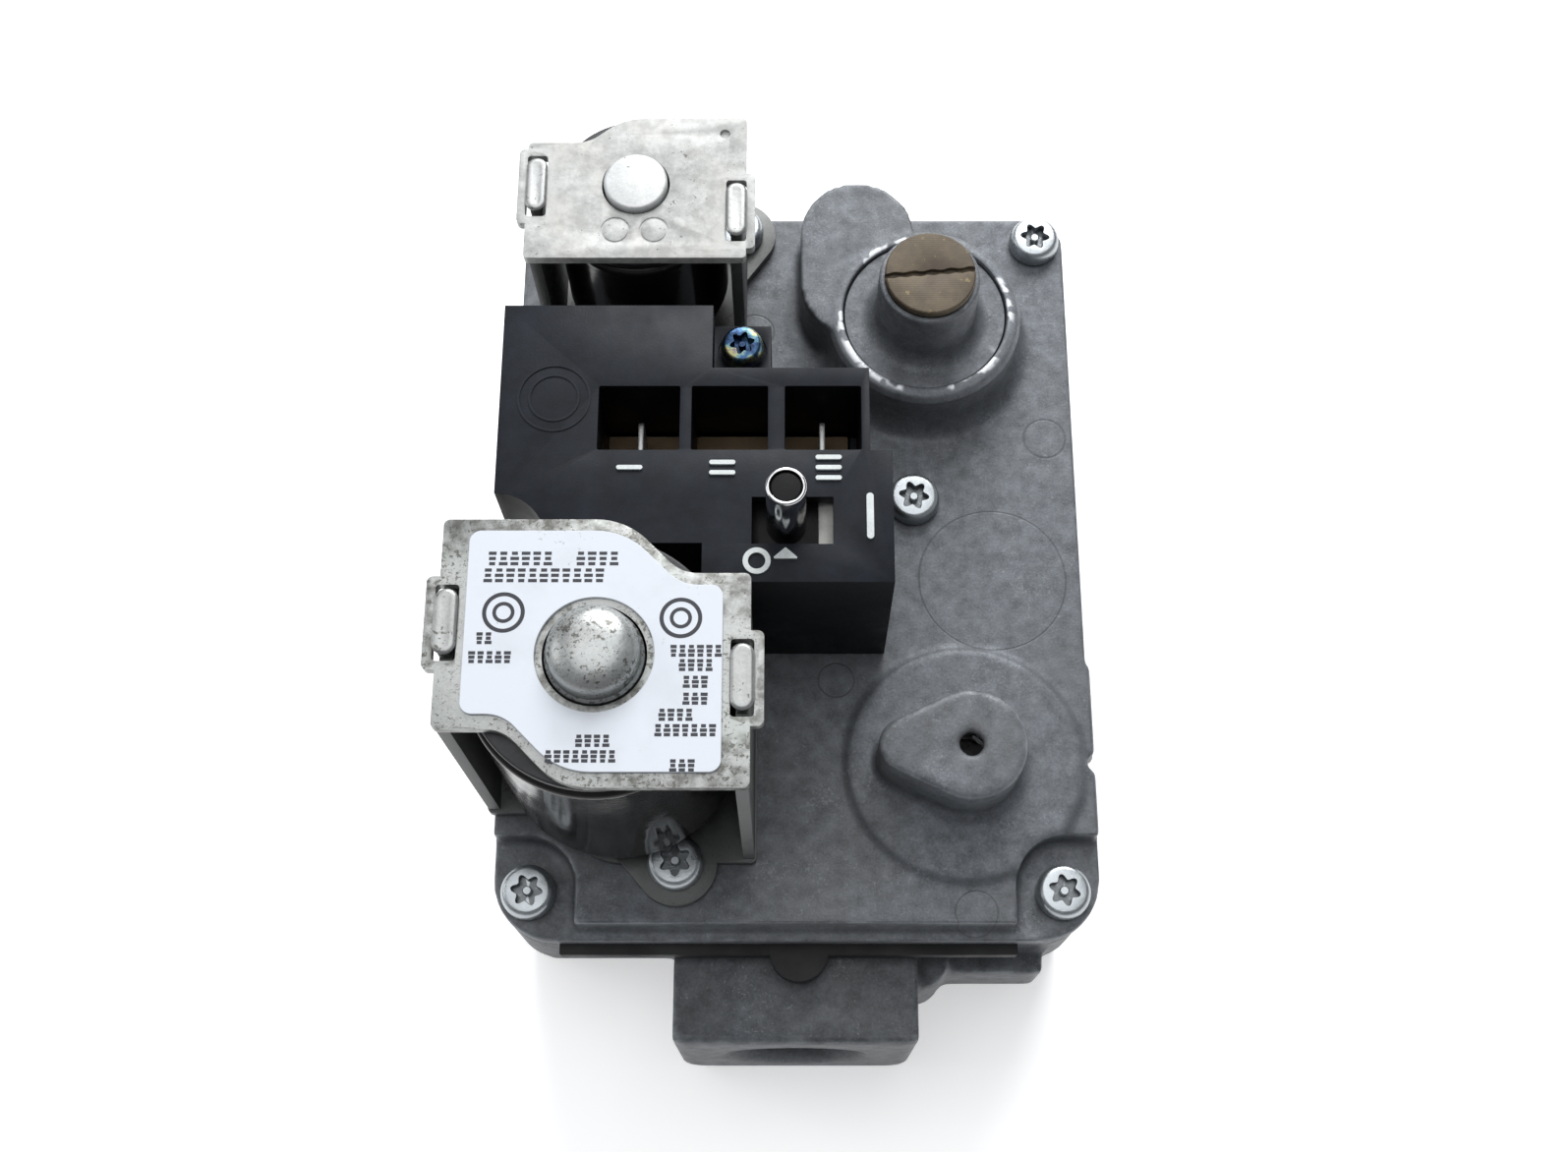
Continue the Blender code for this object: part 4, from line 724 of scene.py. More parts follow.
def zinc_sheet(name, paler, tint, speck_amount, grime, metal=0.72, rougher=0.0):
    material, tree, shader = start_material(name)
    if not tree:
        return material
    base = [channel * paler for channel in bpy.context.scene.valve_solenoids.zinc_colour[:3]] + [1.0]
    where = add_node(tree, "ShaderNodeTexCoord").outputs["Object"]
    mottle = use_group(
        tree, mottle_group(), {"Colour": base, "Patch Scale": 380.0, "Grain Scale": 2600.0, "Contrast": 0.3}
    )
    warm = span(tree, noise(tree, where, 140.0, 3.0), 0.42, 0.68, 0.0, 0.55)
    tinted = mix(tree, warm, mottle["Colour"], tint)
    specks = use_group(
        tree, speckle_group(), {"Scale": 1500.0, "Amount": speck_amount, "Cluster Scale": 150.0}
    )
    fine = use_group(
        tree, speckle_group(), {"Scale": 3600.0, "Amount": speck_amount - 0.04, "Cluster Scale": 260.0}
    )
    dots = maths(tree, "MAXIMUM", specks["Mask"], maths(tree, "MULTIPLY", fine["Mask"], 0.6))
    specked = mix(tree, maths(tree, "MULTIPLY", dots, 0.8), tinted, (0.075, 0.072, 0.06, 1.0))
    wear_and_shade = use_group(tree, wear_and_shade_group(), {"Start": 0.53, "Full": 0.6, "Break Scale": 600.0})
    edged = mix(tree, maths(tree, "MULTIPLY", wear_and_shade["Edge"], grime), specked, (0.10, 0.10, 0.09, 1.0))
    rough = span(tree, mottle["Tone"], 0.3, 0.7, 0.28 + rougher, 0.46 + rougher)
    feed(tree, shader, Base_Color=edged, Roughness=rough, Metallic=metal)
    add_bump(tree, shader, noise(tree, where, 1800.0, 3.0, 0.6), 0.00005, 0.5)
    return material


def zinc_bright(name="zinc_bright", colour=(0.40, 0.43, 0.45, 1.0), low=0.24, high=0.42):
    material, tree, shader = start_material(name)
    if not tree:
        return material
    mottle = use_group(
        tree, mottle_group(), {"Colour": colour, "Patch Scale": 500.0, "Grain Scale": 4000.0, "Contrast": 0.2}
    )
    wear_and_shade = use_group(tree, wear_and_shade_group(), {"Start": 0.5, "Full": 0.6, "Break Scale": 900.0})
    # Painted shade: the hollows, such as the screws' sockets, are darkened.
    shaded_in_hollows = mix(
        tree, maths(tree, "MULTIPLY", wear_and_shade["Hollow"], 0.7), mottle["Colour"], (0.03, 0.032, 0.035, 1.0)
    )
    feed(
        tree,
        shader,
        Base_Color=shaded_in_hollows,
        Roughness=span(tree, mottle["Tone"], 0.3, 0.7, low, high),
        Metallic=0.9,
    )
    add_bump(tree, shader, mottle["Height"], 0.00003, 0.5)
    return material


def heat_tinted():
    """Yellow, blue and violet oxide colours on a plated screw."""
    material, tree, shader = start_material("heat_tinted")
    if not tree:
        return material
    where = add_node(tree, "ShaderNodeTexCoord").outputs["Object"]
    bands = noise(tree, where, 330.0, 3.0, 0.6)
    colour = ramp(
        tree,
        bands,
        [
            (0.30, (0.02, 0.03, 0.06)),
            (0.42, (0.04, 0.08, 0.16)),
            (0.48, (0.09, 0.17, 0.19)),
            (0.54, (0.26, 0.25, 0.11)),
            (0.61, (0.11, 0.09, 0.15)),
            (0.70, (0.05, 0.09, 0.18)),
        ],
    )
    feed(tree, shader, Base_Color=colour, Roughness=span(tree, bands, 0.3, 0.7, 0.18, 0.35), Metallic=0.95)
    add_bump(tree, shader, noise(tree, where, 2500.0), 0.00004, 0.5)
    return material


def moulded_plastic(
    name, colour, rough_low, rough_high, dust_and_sheen_amount, dust_and_sheen_colour=(0.16, 0.17, 0.18, 1.0), shine=0.35
):
    material, tree, shader = start_material(name)
    if not tree:
        return material
    where = add_node(tree, "ShaderNodeTexCoord").outputs["Object"]
    dust_and_sheen = use_group(tree, dust_and_sheen_group(), {"Amount": dust_and_sheen_amount, "Scale": 260.0})
    specks = use_group(tree, speckle_group(), {"Scale": 2600.0, "Amount": 0.56, "Cluster Scale": 70.0})
    mottle = use_group(
        tree,
        mottle_group(),
        {"Colour": colour, "Patch Scale": 150.0, "Grain Scale": 2600.0, "Contrast": 0.25},
    )
    # Lighter on faces that look up: a pale dusting, and painted sheen on the tops.
    dusted_and_sheened = mix(tree, dust_and_sheen["Mask"], mottle["Colour"], dust_and_sheen_colour)
    flecked = mix(tree, maths(tree, "MULTIPLY", specks["Mask"], 0.25), dusted_and_sheened, dust_and_sheen_colour)
    rough = span(tree, noise(tree, where, 120.0, 4.0), 0.35, 0.65, rough_low, rough_high)
    feed(tree, shader, Base_Color=flecked, Roughness=rough, Specular_IOR_Level=shine)
    add_bump(tree, shader, noise(tree, where, 3200.0, 2.0, 0.6), 0.00003, 0.5)
    return material


def coil_casing():
    material, tree, shader = start_material("coil_casing")
    if not tree:
        return material
    where = add_node(tree, "ShaderNodeTexCoord").outputs["Object"]
    dust_and_sheen = use_group(tree, dust_and_sheen_group(), {"Amount": 0.4, "Scale": 320.0})
    smear = noise(tree, where, 90.0, 4.0, 0.6)
    # Lighter on faces that look up: a pale dusting, and painted sheen on the coil's top.
    colour = mix(tree, dust_and_sheen["Mask"], bpy.context.scene.valve_solenoids.coil_colour, (0.05, 0.05, 0.048, 1.0))
    feed(
        tree,
        shader,
        Base_Color=colour,
        Roughness=span(tree, smear, 0.35, 0.7, 0.07, 0.20),
        Specular_IOR_Level=0.2,
    )
    add_bump(tree, shader, noise(tree, where, 160.0, 3.0), 0.0002, 0.3)
    return material


def label_paper():
    material, tree, shader = start_material("label_film")
    if not tree:
        return material
    where = add_node(tree, "ShaderNodeTexCoord").outputs["Object"]
    smudge = span(tree, noise(tree, where, 110.0, 5.0, 0.6), 0.5, 0.78, 0.0, 0.35)
    white = mix(tree, smudge, (0.66, 0.70, 0.76, 1.0), (0.50, 0.53, 0.55, 1.0))
    specks = use_group(tree, speckle_group(), {"Scale": 1700.0, "Amount": 0.53, "Cluster Scale": 60.0})
    spotted = mix(tree, maths(tree, "MULTIPLY", specks["Mask"], 0.5), white, (0.35, 0.36, 0.35, 1.0))
    feed(tree, shader, Base_Color=spotted, Roughness=span(tree, smudge, 0.0, 0.35, 0.38, 0.55))
    add_bump(tree, shader, noise(tree, where, 700.0, 2.0), 0.00003, 0.4)
    return material


def plain_paint(name, colour, roughness, metallic=0.0):
    """Print, paint and small inner pieces: a colour with slight patches and grain."""
    material, tree, shader = start_material(name)
    if not tree:
        return material
    mottle = use_group(
        tree, mottle_group(), {"Colour": colour, "Patch Scale": 400.0, "Grain Scale": 2600.0, "Contrast": 0.2}
    )
    rough = span(tree, mottle["Tone"], 0.3, 0.7, roughness - 0.06, roughness + 0.08)
    feed(tree, shader, Base_Color=mottle["Colour"], Roughness=rough, Metallic=metallic)
    add_bump(tree, shader, mottle["Height"], 0.00003, 0.4)
    return material


def old_brass():
    material, tree, shader = start_material("old_brass")
    if not tree:
        return material
    where = add_node(tree, "ShaderNodeTexCoord").outputs["Object"]
    values = {
        "Colour": (0.105, 0.084, 0.058, 1.0), "Patch Scale": 420.0, "Grain Scale": 2400.0, "Contrast": 0.5
    }
    mottle = use_group(tree, mottle_group(), values)
    turned_marks = add_node(
        tree, "ShaderNodeTexWave", {
            "Vector": where, "Scale": 900.0, "Distortion": 1.5, "Detail": 2.0
        }, bands_direction="Y"
    )
    tarnish = span(tree, noise(tree, where, 260.0, 4.0, 0.65), 0.42, 0.66, 0.0, 0.7)
    stained = mix(tree, tarnish, mottle["Colour"], (0.062, 0.046, 0.034, 1.0))
    flecks = use_group(tree, speckle_group(), {"Scale": 900.0, "Amount": 0.62, "Cluster Scale": 200.0})
    flecked = mix(tree, maths(tree, "MULTIPLY", flecks["Mask"], 0.45), stained, (0.30, 0.24, 0.11, 1.0))
    feed(
        tree,
        shader,
        Base_Color=flecked,
        Roughness=span(tree, mottle["Tone"], 0.3, 0.7, 0.48, 0.66),
        Metallic=0.45,
    )
    add_bump(tree, shader, turned_marks.outputs["Fac"], 0.00002, 0.35)
    return material


def bright_chrome():
    material, tree, shader = start_material("bright_chrome")
    if not tree:
        return material
    where = add_node(tree, "ShaderNodeTexCoord").outputs["Object"]
    haze = noise(tree, where, 500.0, 4.0)
    colour = mix(tree, span(tree, haze, 0.5, 0.7), (0.62, 0.62, 0.63, 1.0), (0.38, 0.38, 0.39, 1.0))
    feed(tree, shader, Base_Color=colour, Roughness=span(tree, haze, 0.35, 0.7, 0.08, 0.24), Metallic=1.0)
    add_bump(tree, shader, haze, 0.00002, 0.3)
    return material


def floor_paint():
    material, tree, shader = start_material("pale_floor")
    if not tree:
        return material
    feed(tree, shader, Base_Color=bpy.context.scene.valve_stage.floor_colour, Roughness=0.9)
    feed(tree, shader, Emission_Color=(1.0, 1.0, 1.0, 1.0), Emission_Strength=0.45)
    return material


# Castings.

COVER_PLACES = {
    name: middle_of(f"cover_screw_{name}").xy for name in (
        "front_left", "front_right", "rear_left", "rear_right", "middle"
    )
}
FRONT_CORNER = 9.0
REAR_CORNER = 5.0
EDGE_STEP = 0.6
EDGE_STEP_Y = FRONT + 39.5
RIM_RADIUS = 14.5
RIM_FLARE = 2.4
RIM_HEIGHT = 10.3
WELL_RADIUS = 11.3
WELL_MOUTH = 12.4
VENT_BOSS_TOP = COVER_TOP + 11.4
CHAMBER_FLOOR = 12.0
PASSAGE_HEIGHT = 6.5
LIP_WEAR = [(REGULATOR.x, REGULATOR.y, WELL_MOUTH + 0.3, 1.3)]
COVER_MARKS = [
    (RIGHT - 4.9, REGULATOR.y - 16.3, 3.2, 0.28),
    (RIGHT - 13.8, VENT.y + 28.1, 11.0, 0.2),
    (VENT.x - 18.5, VENT.y + 12.6, 2.6, 0.2),
    (VENT.x + 1.0, VENT.y - 21.5, 3.0, 0.2),
    (REGULATOR.x - 26.0, REGULATOR.y + 2.0, 3.0, 0.22),
]


def cover_outline(inset, left, right, front):
    """Plan of the cover's flange or plateau, with the small step in its right edge."""
    return round_corners(
        [
            (left, front),
            (right, front),
            (right, EDGE_STEP_Y, 0.4),
            (right - EDGE_STEP, EDGE_STEP_Y + EDGE_STEP, 0.4),
            (right - EDGE_STEP, BACK - inset, REAR_CORNER),
            (left, BACK - inset, REAR_CORNER),
        ]
    )


def rim_profile():
    """The regulator's flared rim, solid to its axis."""
    top = COVER_TOP + RIM_HEIGHT
    steps = [math.pi / 2 * number / 8 for number in range(9)]
    flare = [(RIM_RADIUS + RIM_FLARE * (1 - math.sin(a)), COVER_TOP + 5.0 * (1 - math.cos(a))) for a in steps]
    foot = [(0.0, COVER_TOP - PAST), (RIM_RADIUS + RIM_FLARE, COVER_TOP - PAST)]
    return foot + flare + [(RIM_RADIUS, top - 0.9), (RIM_RADIUS - 0.9, top), (0.0, top)]


def stepped(low, steps):
    """Profile of a stack of cylinders from low upwards, each given as (radius, top)."""
    profile = [(0.0, low)]
    for radius, top in steps:
        profile += [(radius, low), (radius, top)]
        low = top
    return profile + [(0.0, low)]


def screw_pocket(side):
    """Cutter for the pocket round a front screw. side is -1 at the left and 1 at the right."""
    inner = side * (RIGHT - 12.0)
    outer = side * (RIGHT + 2.0)
    back = FRONT + 14.3
    corners = [(inner, FRONT - 2.0), (outer, FRONT - 2.0), (outer, back), (inner, back, 7.0)]
    return prism(round_corners(corners), FLANGE_TOP, COVER_TOP + 3.0)


def corner_cutter(edge_x, side):
    """Rounds a front corner of the flange and the plateau. side is -1 at the left and 1 at the right."""
    middle = Vector((edge_x - side * FRONT_CORNER, FRONT + FRONT_CORNER))
    steps = [math.pi / 2 * number / 16 for number in range(17)]
    arc = [middle + FRONT_CORNER * Vector((side * math.sin(a), -math.cos(a))) for a in steps]
    outer = Vector((edge_x + 2.0 * side, FRONT - 2.0))
    outline = [(middle.x, outer.y), *arc, (outer.x, middle.y), outer]
    return prism(outline, COVER_BOTTOM - PAST, COVER_TOP + PAST)


def cover_solids():
    """The cover's flange and what stands on it."""
    sink = COVER_TOP - PAST
    rear_boss_x = RIGHT - 33.7
    boss_start = (rear_boss_x, REGULATOR.y + 5.2)
    boss_end = (rear_boss_x, BACK + GAP - 8.7)
    base = prism(cover_outline(0.0, LEFT, RIGHT + 0.3, FRONT), COVER_BOTTOM, FLANGE_TOP)
    return base, [
        prism(cover_outline(0.2, LEFT + 0.2, RIGHT + 0.1, FRONT + 1.9), FLANGE_TOP - PAST, COVER_TOP),
        prism(hull_of_circles(boss_start, 8.7, boss_end, 8.7), sink, COVER_TOP + 10.0),
        turned(rim_profile(), REGULATOR),
        rod(VENT, 17.1, sink, COVER_TOP + 0.8),
        prism(hull_of_circles(VENT, 7.8, (VENT.x - 9.0, VENT.y), 3.9), sink, VENT_BOSS_TOP),
        turned(
            [
                (0.0, sink),
                (9.6, sink),
                (9.6, COVER_TOP + 0.8),
                (8.6, COVER_TOP + 1.2),
                (7.7, COVER_TOP + 2.4),
                (0.0, COVER_TOP + 2.4),
            ],
            VENT,
        ),
        rod(REGULATOR, 4.5, COVER_BOTTOM - 3.5, COVER_BOTTOM + PAST),
    ]


def cover_cutters():
    low = COVER_BOTTOM - PAST
    diaphragm_reach = (box_of("main_diaphragm")[1].x - box_of("main_diaphragm")[0].x) / 2 + GAP
    well = [
        (2.0, COVER_BOTTOM + 4.5),
        (WELL_RADIUS - 2.3, COVER_TOP + 1.5),
        (WELL_RADIUS, COVER_TOP + RIM_HEIGHT - 2.6),
    ]
    well.append((WELL_MOUTH, COVER_TOP + RIM_HEIGHT + PAST))
    vent = [(diaphragm_reach, COVER_TOP - 2.0), (6.0, VENT_BOSS_TOP - 1.8), (1.69, VENT_BOSS_TOP + PAST)]
    cutters = [
        screw_pocket(-1),
        screw_pocket(1),
        corner_cutter(LEFT, -1),
        corner_cutter(RIGHT + 0.3, 1),
        turned(stepped(low - 3.5, well), REGULATOR),
        turned(stepped(low, vent), VENT),
        rod((RIGHT + 0.3, VENT.y + 0.2), 1.3, low, COVER_TOP + PAST),
    ]
    cutters += [rod(axis, 8.0, low, COVER_TOP + PAST) for axis in AXES.values()]
    cutters += [rod(spot, 2.3, low, COVER_TOP + PAST, 0.0, 32) for spot in COVER_PLACES.values()]
    small = [middle_of(name).xy for name in ("front_solenoid_screw", "rear_solenoid_screw", "block_screw")]
    cutters += [rod(spot, 1.9, COVER_TOP - 4.2, COVER_TOP + PAST, 0.0, 32) for spot in small]
    return cutters


def body_solids():
    """The lower body's box, and its port bosses, its front ledge and its lobe, which stand out from it."""
    half = 35.3 / 2
    height = BODY_HIGH.z
    base = prism(rectangle(LEFT + 0.6, RIGHT - 0.6, FRONT + 0.6, BACK - 0.4, 7.0), 0.0, height)
    boss = round_corners([(-half, 0.0, 4.5), (half, 0.0, 4.5), (half, 34.5), (-half, 34.5)])
    rear = round_corners([(-half, 0.0, 4.5), (half, 0.0, 4.5), (half, 33.0), (-half, 33.0)])
    solids = [
        level_prism(boss, BODY_LOW.y, FRONT + 5.6),
        level_prism(rear, BACK - 5.0, BODY_HIGH.y),
        slab(12.0, RIGHT - 6.9, FRONT - 2.9, FRONT + 5.6, height - 19.0, height - 6.0),
        rod((half + 0.6, FRONT - 1.2), 4.2, height - 24.0, height - 4.0),
    ]
    return base, solids


def level_prism(outline, y0, y1):
    """A prism whose outline lies in the XZ plane and which runs along Y."""
    made = prism([(x, -z) for x, z in outline], y0, y1)
    for vertex in made.verts:
        vertex.co = Vector((vertex.co.x, vertex.co.z, -vertex.co.y))
    return made


def port_cutter(face_y, direction, depth):
    """The bore of a pipe port: a chamfered mouth and the ridges of its thread."""
    pitch, radius = 1.8, 9.2
    profile = [(0.0, -PAST), (radius + 2.5, -PAST), (radius, 1.5)]
    turns = int((14.0 - 2.0) / pitch)
    for number in range(turns):
        z = 2.0 + pitch * number
        profile += [(radius - 0.05, z), (radius - 0.75, z + pitch / 2)]
    profile += [(radius, 2.0 + pitch * turns), (radius, depth), (0.0, depth)]
    return lay_down(turned(profile, (0.0, 0.0), 64), (0.0, face_y, 17.2), (0.0, direction, 0.0))


def body_rooms():
    """Cutters for the three chambers and for the recess below the body's front edge."""
    height = BODY_HIGH.z
    front_end, back_end = FRONT + 13.5, BACK - 8.9
    rooms = [
        (LEFT + 4.25, RIGHT - 4.25, 14.0, back_end),
        (LEFT + 4.25, -12.0, front_end, 2.0),
        (-8.0, RIGHT - 4.25, front_end, 2.0),
    ]
    cutters = [slab(*room, CHAMBER_FLOOR, height + PAST, 4.0) for room in rooms]
    return cutters + [slab(LEFT - PAST, RIGHT + PAST, FRONT - PAST, FRONT + 4.6, -PAST, height - 16.0)]


def body_cutters():
    """Cutters for the ports, the cover screws' threads and the pressure taps."""
    height = BODY_HIGH.z
    front_end, back_end = FRONT + 13.5, BACK - 8.9
    cutters = [
        port_cutter(BODY_LOW.y, 1.0, front_end + 4.0 - BODY_LOW.y),
        port_cutter(BODY_HIGH.y, -1.0, BODY_HIGH.y - back_end + 4.0),
    ]
    low = COVER_TOP - 24.0
    cutters += [rod(spot, 2.3, low, height + PAST, 0.0, 32) for spot in COVER_PLACES.values()]
    for name in ("inlet", "outlet"):
        spot = middle_of(f"{name}_tap_plug")
        start = (RIGHT - 4.25 - PAST, spot.y, spot.z)
        cutters.append(lay_down(rod((0.0, 0.0), 5.2, 0.0, 4.25 + 2 * PAST, 0.0, 48), start, (1.0, 0.0, 0.0)))
    return cutters


def seats():
    """The valve seats' bosses, and the bores and passages in the floor below them."""
    height = BODY_HIGH.z
    places = [
        (AXES["rear"], height - 8.0, 7.5, 3.5),
        (AXES["front"], height - 8.0, 7.5, 3.5),
        (VENT, height - 15.0, 9.0, 5.5),
    ]
    bosses = [rod(axis, radius, CHAMBER_FLOOR - PAST, top, 0.4, 64) for axis, top, radius, _ in places]
    bores = [rod(axis, bore, PASSAGE_HEIGHT, top + PAST, 0.0, 64) for axis, top, _, bore in places]
    rear, front = AXES["rear"], AXES["front"]
    run = rear.y - 2.0 + 10.0
    level = rod((0.0, 0.0), 3.5, 0.0, run, 0.0, 48)
    bores.append(lay_down(level, (rear.x, rear.y, PASSAGE_HEIGHT), (0.0, -1.0, 0.0)))
    bores.append(rod((rear.x, rear.y - run + 4.0), 3.5, PASSAGE_HEIGHT, CHAMBER_FLOOR + PAST, 0.0, 48))
    level = rod((0.0, 0.0), 3.5, 0.0, VENT.x - front.x, 0.0, 48)
    bores.append(lay_down(level, (front.x, (front.y + VENT.y) / 2, PASSAGE_HEIGHT), (1.0, 0.0, 0.0)))
    return bosses, bores


class VALVE_OT_castings(bpy.types.Operator):
    """Build the cast cover and lower body, and the gasket between them"""

    bl_idname = "valve.castings"
    bl_label = "Castings"

    def execute(self, context):
        looks = context.scene.valve_castings
        base, solids = cover_solids()
        finish = cast_metal(marks=COVER_MARKS)
        cover = cast("cover_casting", base, finish, solids, cover_cutters(), looks.cover_grain, 0.45)
        place(cover, ROOT, "cast_aluminium", "top_cover")
        base, solids = body_solids()
        # Painted shade: the cover's metal darkened to 0.66, for the shade below the cover's flange.
        finish = cast_metal("body_metal", 0.66)
        seat_bosses, seat_bores = seats()
        inside = [*body_cutters(), *seat_bores]
        body = cast(
            "body_casting",
            base,
            finish,
            [],
            body_rooms(),
            looks.body_grain,
            0.5,
            [*solids, *seat_bosses],
            inside,
        )
        place(body, ROOT, "cast_aluminium", "lower_body")
        self.make_gasket()
        return {"FINISHED"}

    def make_gasket(self):
        """A sheet between the castings, with its front strip, its tab and a window for each chamber."""
        low, high = GASKET_LOW.z - GAP, GASKET_HIGH.z + GAP
        tab = rod((0.5, FRONT - 1.0), 4.2, low, high)
        strip = slab(LEFT + 9.5, RIGHT - 11.5, FRONT - 1.5, FRONT + 4.0, low, high, 0.3)
        rooms = [
            (-39.0, 39.0, 14.0, BACK - 8.9),
            (-39.0, -12.0, FRONT + 13.5, 2.0),
            (-8.0, 39.0, FRONT + 13.5, 2.0),
        ]
        windows = [slab(*room, low - PAST, high + PAST, 4.0) for room in rooms]
        sheet = prism(rectangle(LEFT + 1.0, RIGHT - 1.0, FRONT + 1.0, BACK - 1.0, 7.0), low, high)
        rubber = moulded_plastic(
            "gasket_rubber", (0.011, 0.011, 0.012, 1.0), 0.55, 0.8, 0.2, (0.05, 0.05, 0.05, 1.0)
        )
        gasket = shaped("gasket_sheet", sheet, rubber, [strip, tab], windows, 0.00015)
        place(gasket, ROOT, "rubber", "body_gasket")


# Screws.


def lobed_screw(head, height, shank, length):
    """A button-head screw about the origin, its seat at z 0, with a six-lobed socket and a centre pin."""
    count = 72
    turns = [2 * math.pi * number / count for number in range(count)]

    def ring(radius, z, lobe=0.0):
        reaches = [(a, radius + lobe * math.cos(6 * a)) for a in turns]
        return [(reach * math.cos(a), reach * math.sin(a), z) for a, reach in reaches]

    flat, socket, pin = head * 0.76, head * 0.47, head * 0.17
    floor = height - 1.5
    rings = [[(0.0, 0.0, height - 0.35)], ring(pin * 0.8, height - 0.35)]
    rings += [ring(pin, height - 0.5), ring(pin, floor)]
    rings += [
        ring(socket, floor, 0.1 * head),
        ring(socket, height - 0.15, 0.1 * head),
        ring(socket * 1.05, height, 0.1 * head),
    ]
    shoulder = [math.pi / 2 * number / 6 for number in range(7)]
    for a in shoulder:
        rings.append(ring(flat + (head - flat) * math.sin(a), height * 0.35 + height * 0.65 * math.cos(a)))
    rings += [ring(head, 0.15), ring(head - 0.15, 0.0), ring(shank, 0.0), ring(shank, 0.3 - length)]
    rings += [ring(shank - 0.3, -length), [(0.0, 0.0, -length)]]
    return stack_of_rings(rings, False)


def screws_tree():
    """Geometry nodes: a screw on every point, each turned by its own random angle."""
    tree = bpy.data.node_groups.new("Screws On Points", "GeometryNodeTree")
    sockets = {}
    for label, kind in (
        ("Points", "Geometry"),
        ("Screw", "Object"),
        ("Size", "Float"),
        ("Seed", "Int"),
        ("Finish", "Material"),
    ):
        sockets[label] = tree.interface.new_socket(
            label, in_out="INPUT", socket_type=f"NodeSocket{kind}"
        ).identifier
    tree.interface.new_socket("Screws", in_out="OUTPUT", socket_type="NodeSocketGeometry")
    given = tree.nodes.new("NodeGroupInput").outputs
    result = tree.nodes.new("NodeGroupOutput").inputs
    master = add_node(tree, "GeometryNodeObjectInfo", {"Object": given["Screw"]}, transform_space="ORIGINAL")
    turn = add_node(tree, "FunctionNodeRandomValue", {"Seed": given["Seed"]}, data_type="FLOAT")
    turn.inputs[2].default_value = 0.0
    turn.inputs[3].default_value = math.pi / 3
    angle = add_node(tree, "ShaderNodeCombineXYZ", {"Z": turn.outputs[1]})
    size = add_node(
        tree, "ShaderNodeCombineXYZ", {"X": given["Size"], "Y": given["Size"], "Z": given["Size"]}
    )
    values = {
        "Points": given["Points"],
        "Instance": master.outputs["Geometry"],
        "Rotation": angle.outputs[0],
        "Scale": size.outputs[0],
    }
    spread = add_node(tree, "GeometryNodeInstanceOnPoints", values)
    real = add_node(tree, "GeometryNodeRealizeInstances", {"Geometry": spread.outputs[0]})
    finish = add_node(
        tree, "GeometryNodeSetMaterial", {"Geometry": real.outputs[0], "Material": given["Finish"]}
    )
    tree.links.new(finish.outputs[0], result["Screws"])
    return tree, sockets


def points_object(name, places):
    mesh = bpy.data.meshes.new(name)
    mesh.from_pydata([tuple(Vector(spot) * MM) for spot in places], [], [])
    item = bpy.data.objects.new(name, mesh)
    bpy.context.scene.collection.objects.link(item)
    return item


def put_screws(name, places, head, shank, length, finish, seed):
    """One mesh with a screw at each (x, y, seat) place."""
    master = new_object(f"{name}_master", lobed_screw(head, 2.6, shank, length))
    master.data.shade_smooth()
    master.data.set_sharp_from_angle(angle=math.radians(40))
    item = points_object(name, places)
    tree, sockets = screws_tree()
    modifier = item.modifiers.new("Screws", "NODES")
    modifier.node_group = tree
    for label, value in (("Screw", master), ("Size", 1.0), ("Seed", seed), ("Finish", finish)):
        modifier[sockets[label]] = value
    settle(item, [master], 40.0)
    return item


class VALVE_OT_screws(bpy.types.Operator):
    """Put the six-lobed screws in the cover, the solenoid frames and the block's lug"""

    bl_idname = "valve.screws"
    bl_label = "Screws"

    def execute(self, context):
        finish = zinc_bright()
        cover = [f"cover_screw_{name}" for name in COVER_PLACES]
        self.put("cover_screws", cover, 3.9, 2.0, finish, 3)
        self.put("solenoid_screws", ["front_solenoid_screw", "rear_solenoid_screw"], 3.9, 1.6, finish, 5)
        self.put("lug_screw", ["block_screw"], 3.0, 1.6, heat_tinted(), 8)
        return {"FINISHED"}

    def put(self, name, nodes, head, shank, finish, seed):
        seats = []
        for node in nodes:
            low, high = box_of(node)
            seats.append(((low.x + high.x) / 2, (low.y + high.y) / 2, high.z - 2.6))
        length = seats[0][2] - box_of(nodes[0])[0].z
        item = put_screws(name, seats, head, shank, length, finish, seed)
        place(item, ROOT, "zinc_steel", *nodes)


# Solenoids.


def plate_centre(which):
    offset = (-0.2, 0.7) if which == "front" else (0.1, -0.4)
    return AXES[which] + Vector(offset)


def plate_outline(which, inset=0.0, side=0.0, corner=0.8):
    """Plan of a yoke plate: the front one turns onto itself by half a turn, the rear one steps in once."""
    if which == "front":
        x, y, step = side or 19.1, 17.0, 7.1
        half = [
            (x - inset, y - step - inset, corner),
            (10.5, y - step - inset, 5.0),
            (3.5, y - inset, 9.0),
            (-x + inset, y - inset, corner),
        ]
        corners = half + [(-across, -along, radius) for across, along, radius in half]
    else:
        x, y, step = 15.5, 11.3, 4.0
        corners = [
            (-x + inset, -y + inset, 0.6),
            (x - inset, -y + inset, 0.6),
            (x - inset, y - inset, 0.6),
            (-2.0, y - inset, 8.0),
            (-7.0, y - step - inset, 5.0),
            (-x + inset, y - step - inset, 0.6),
        ]
    centre = plate_centre(which)
    return [point + centre for point in round_corners(corners, 6.0)]


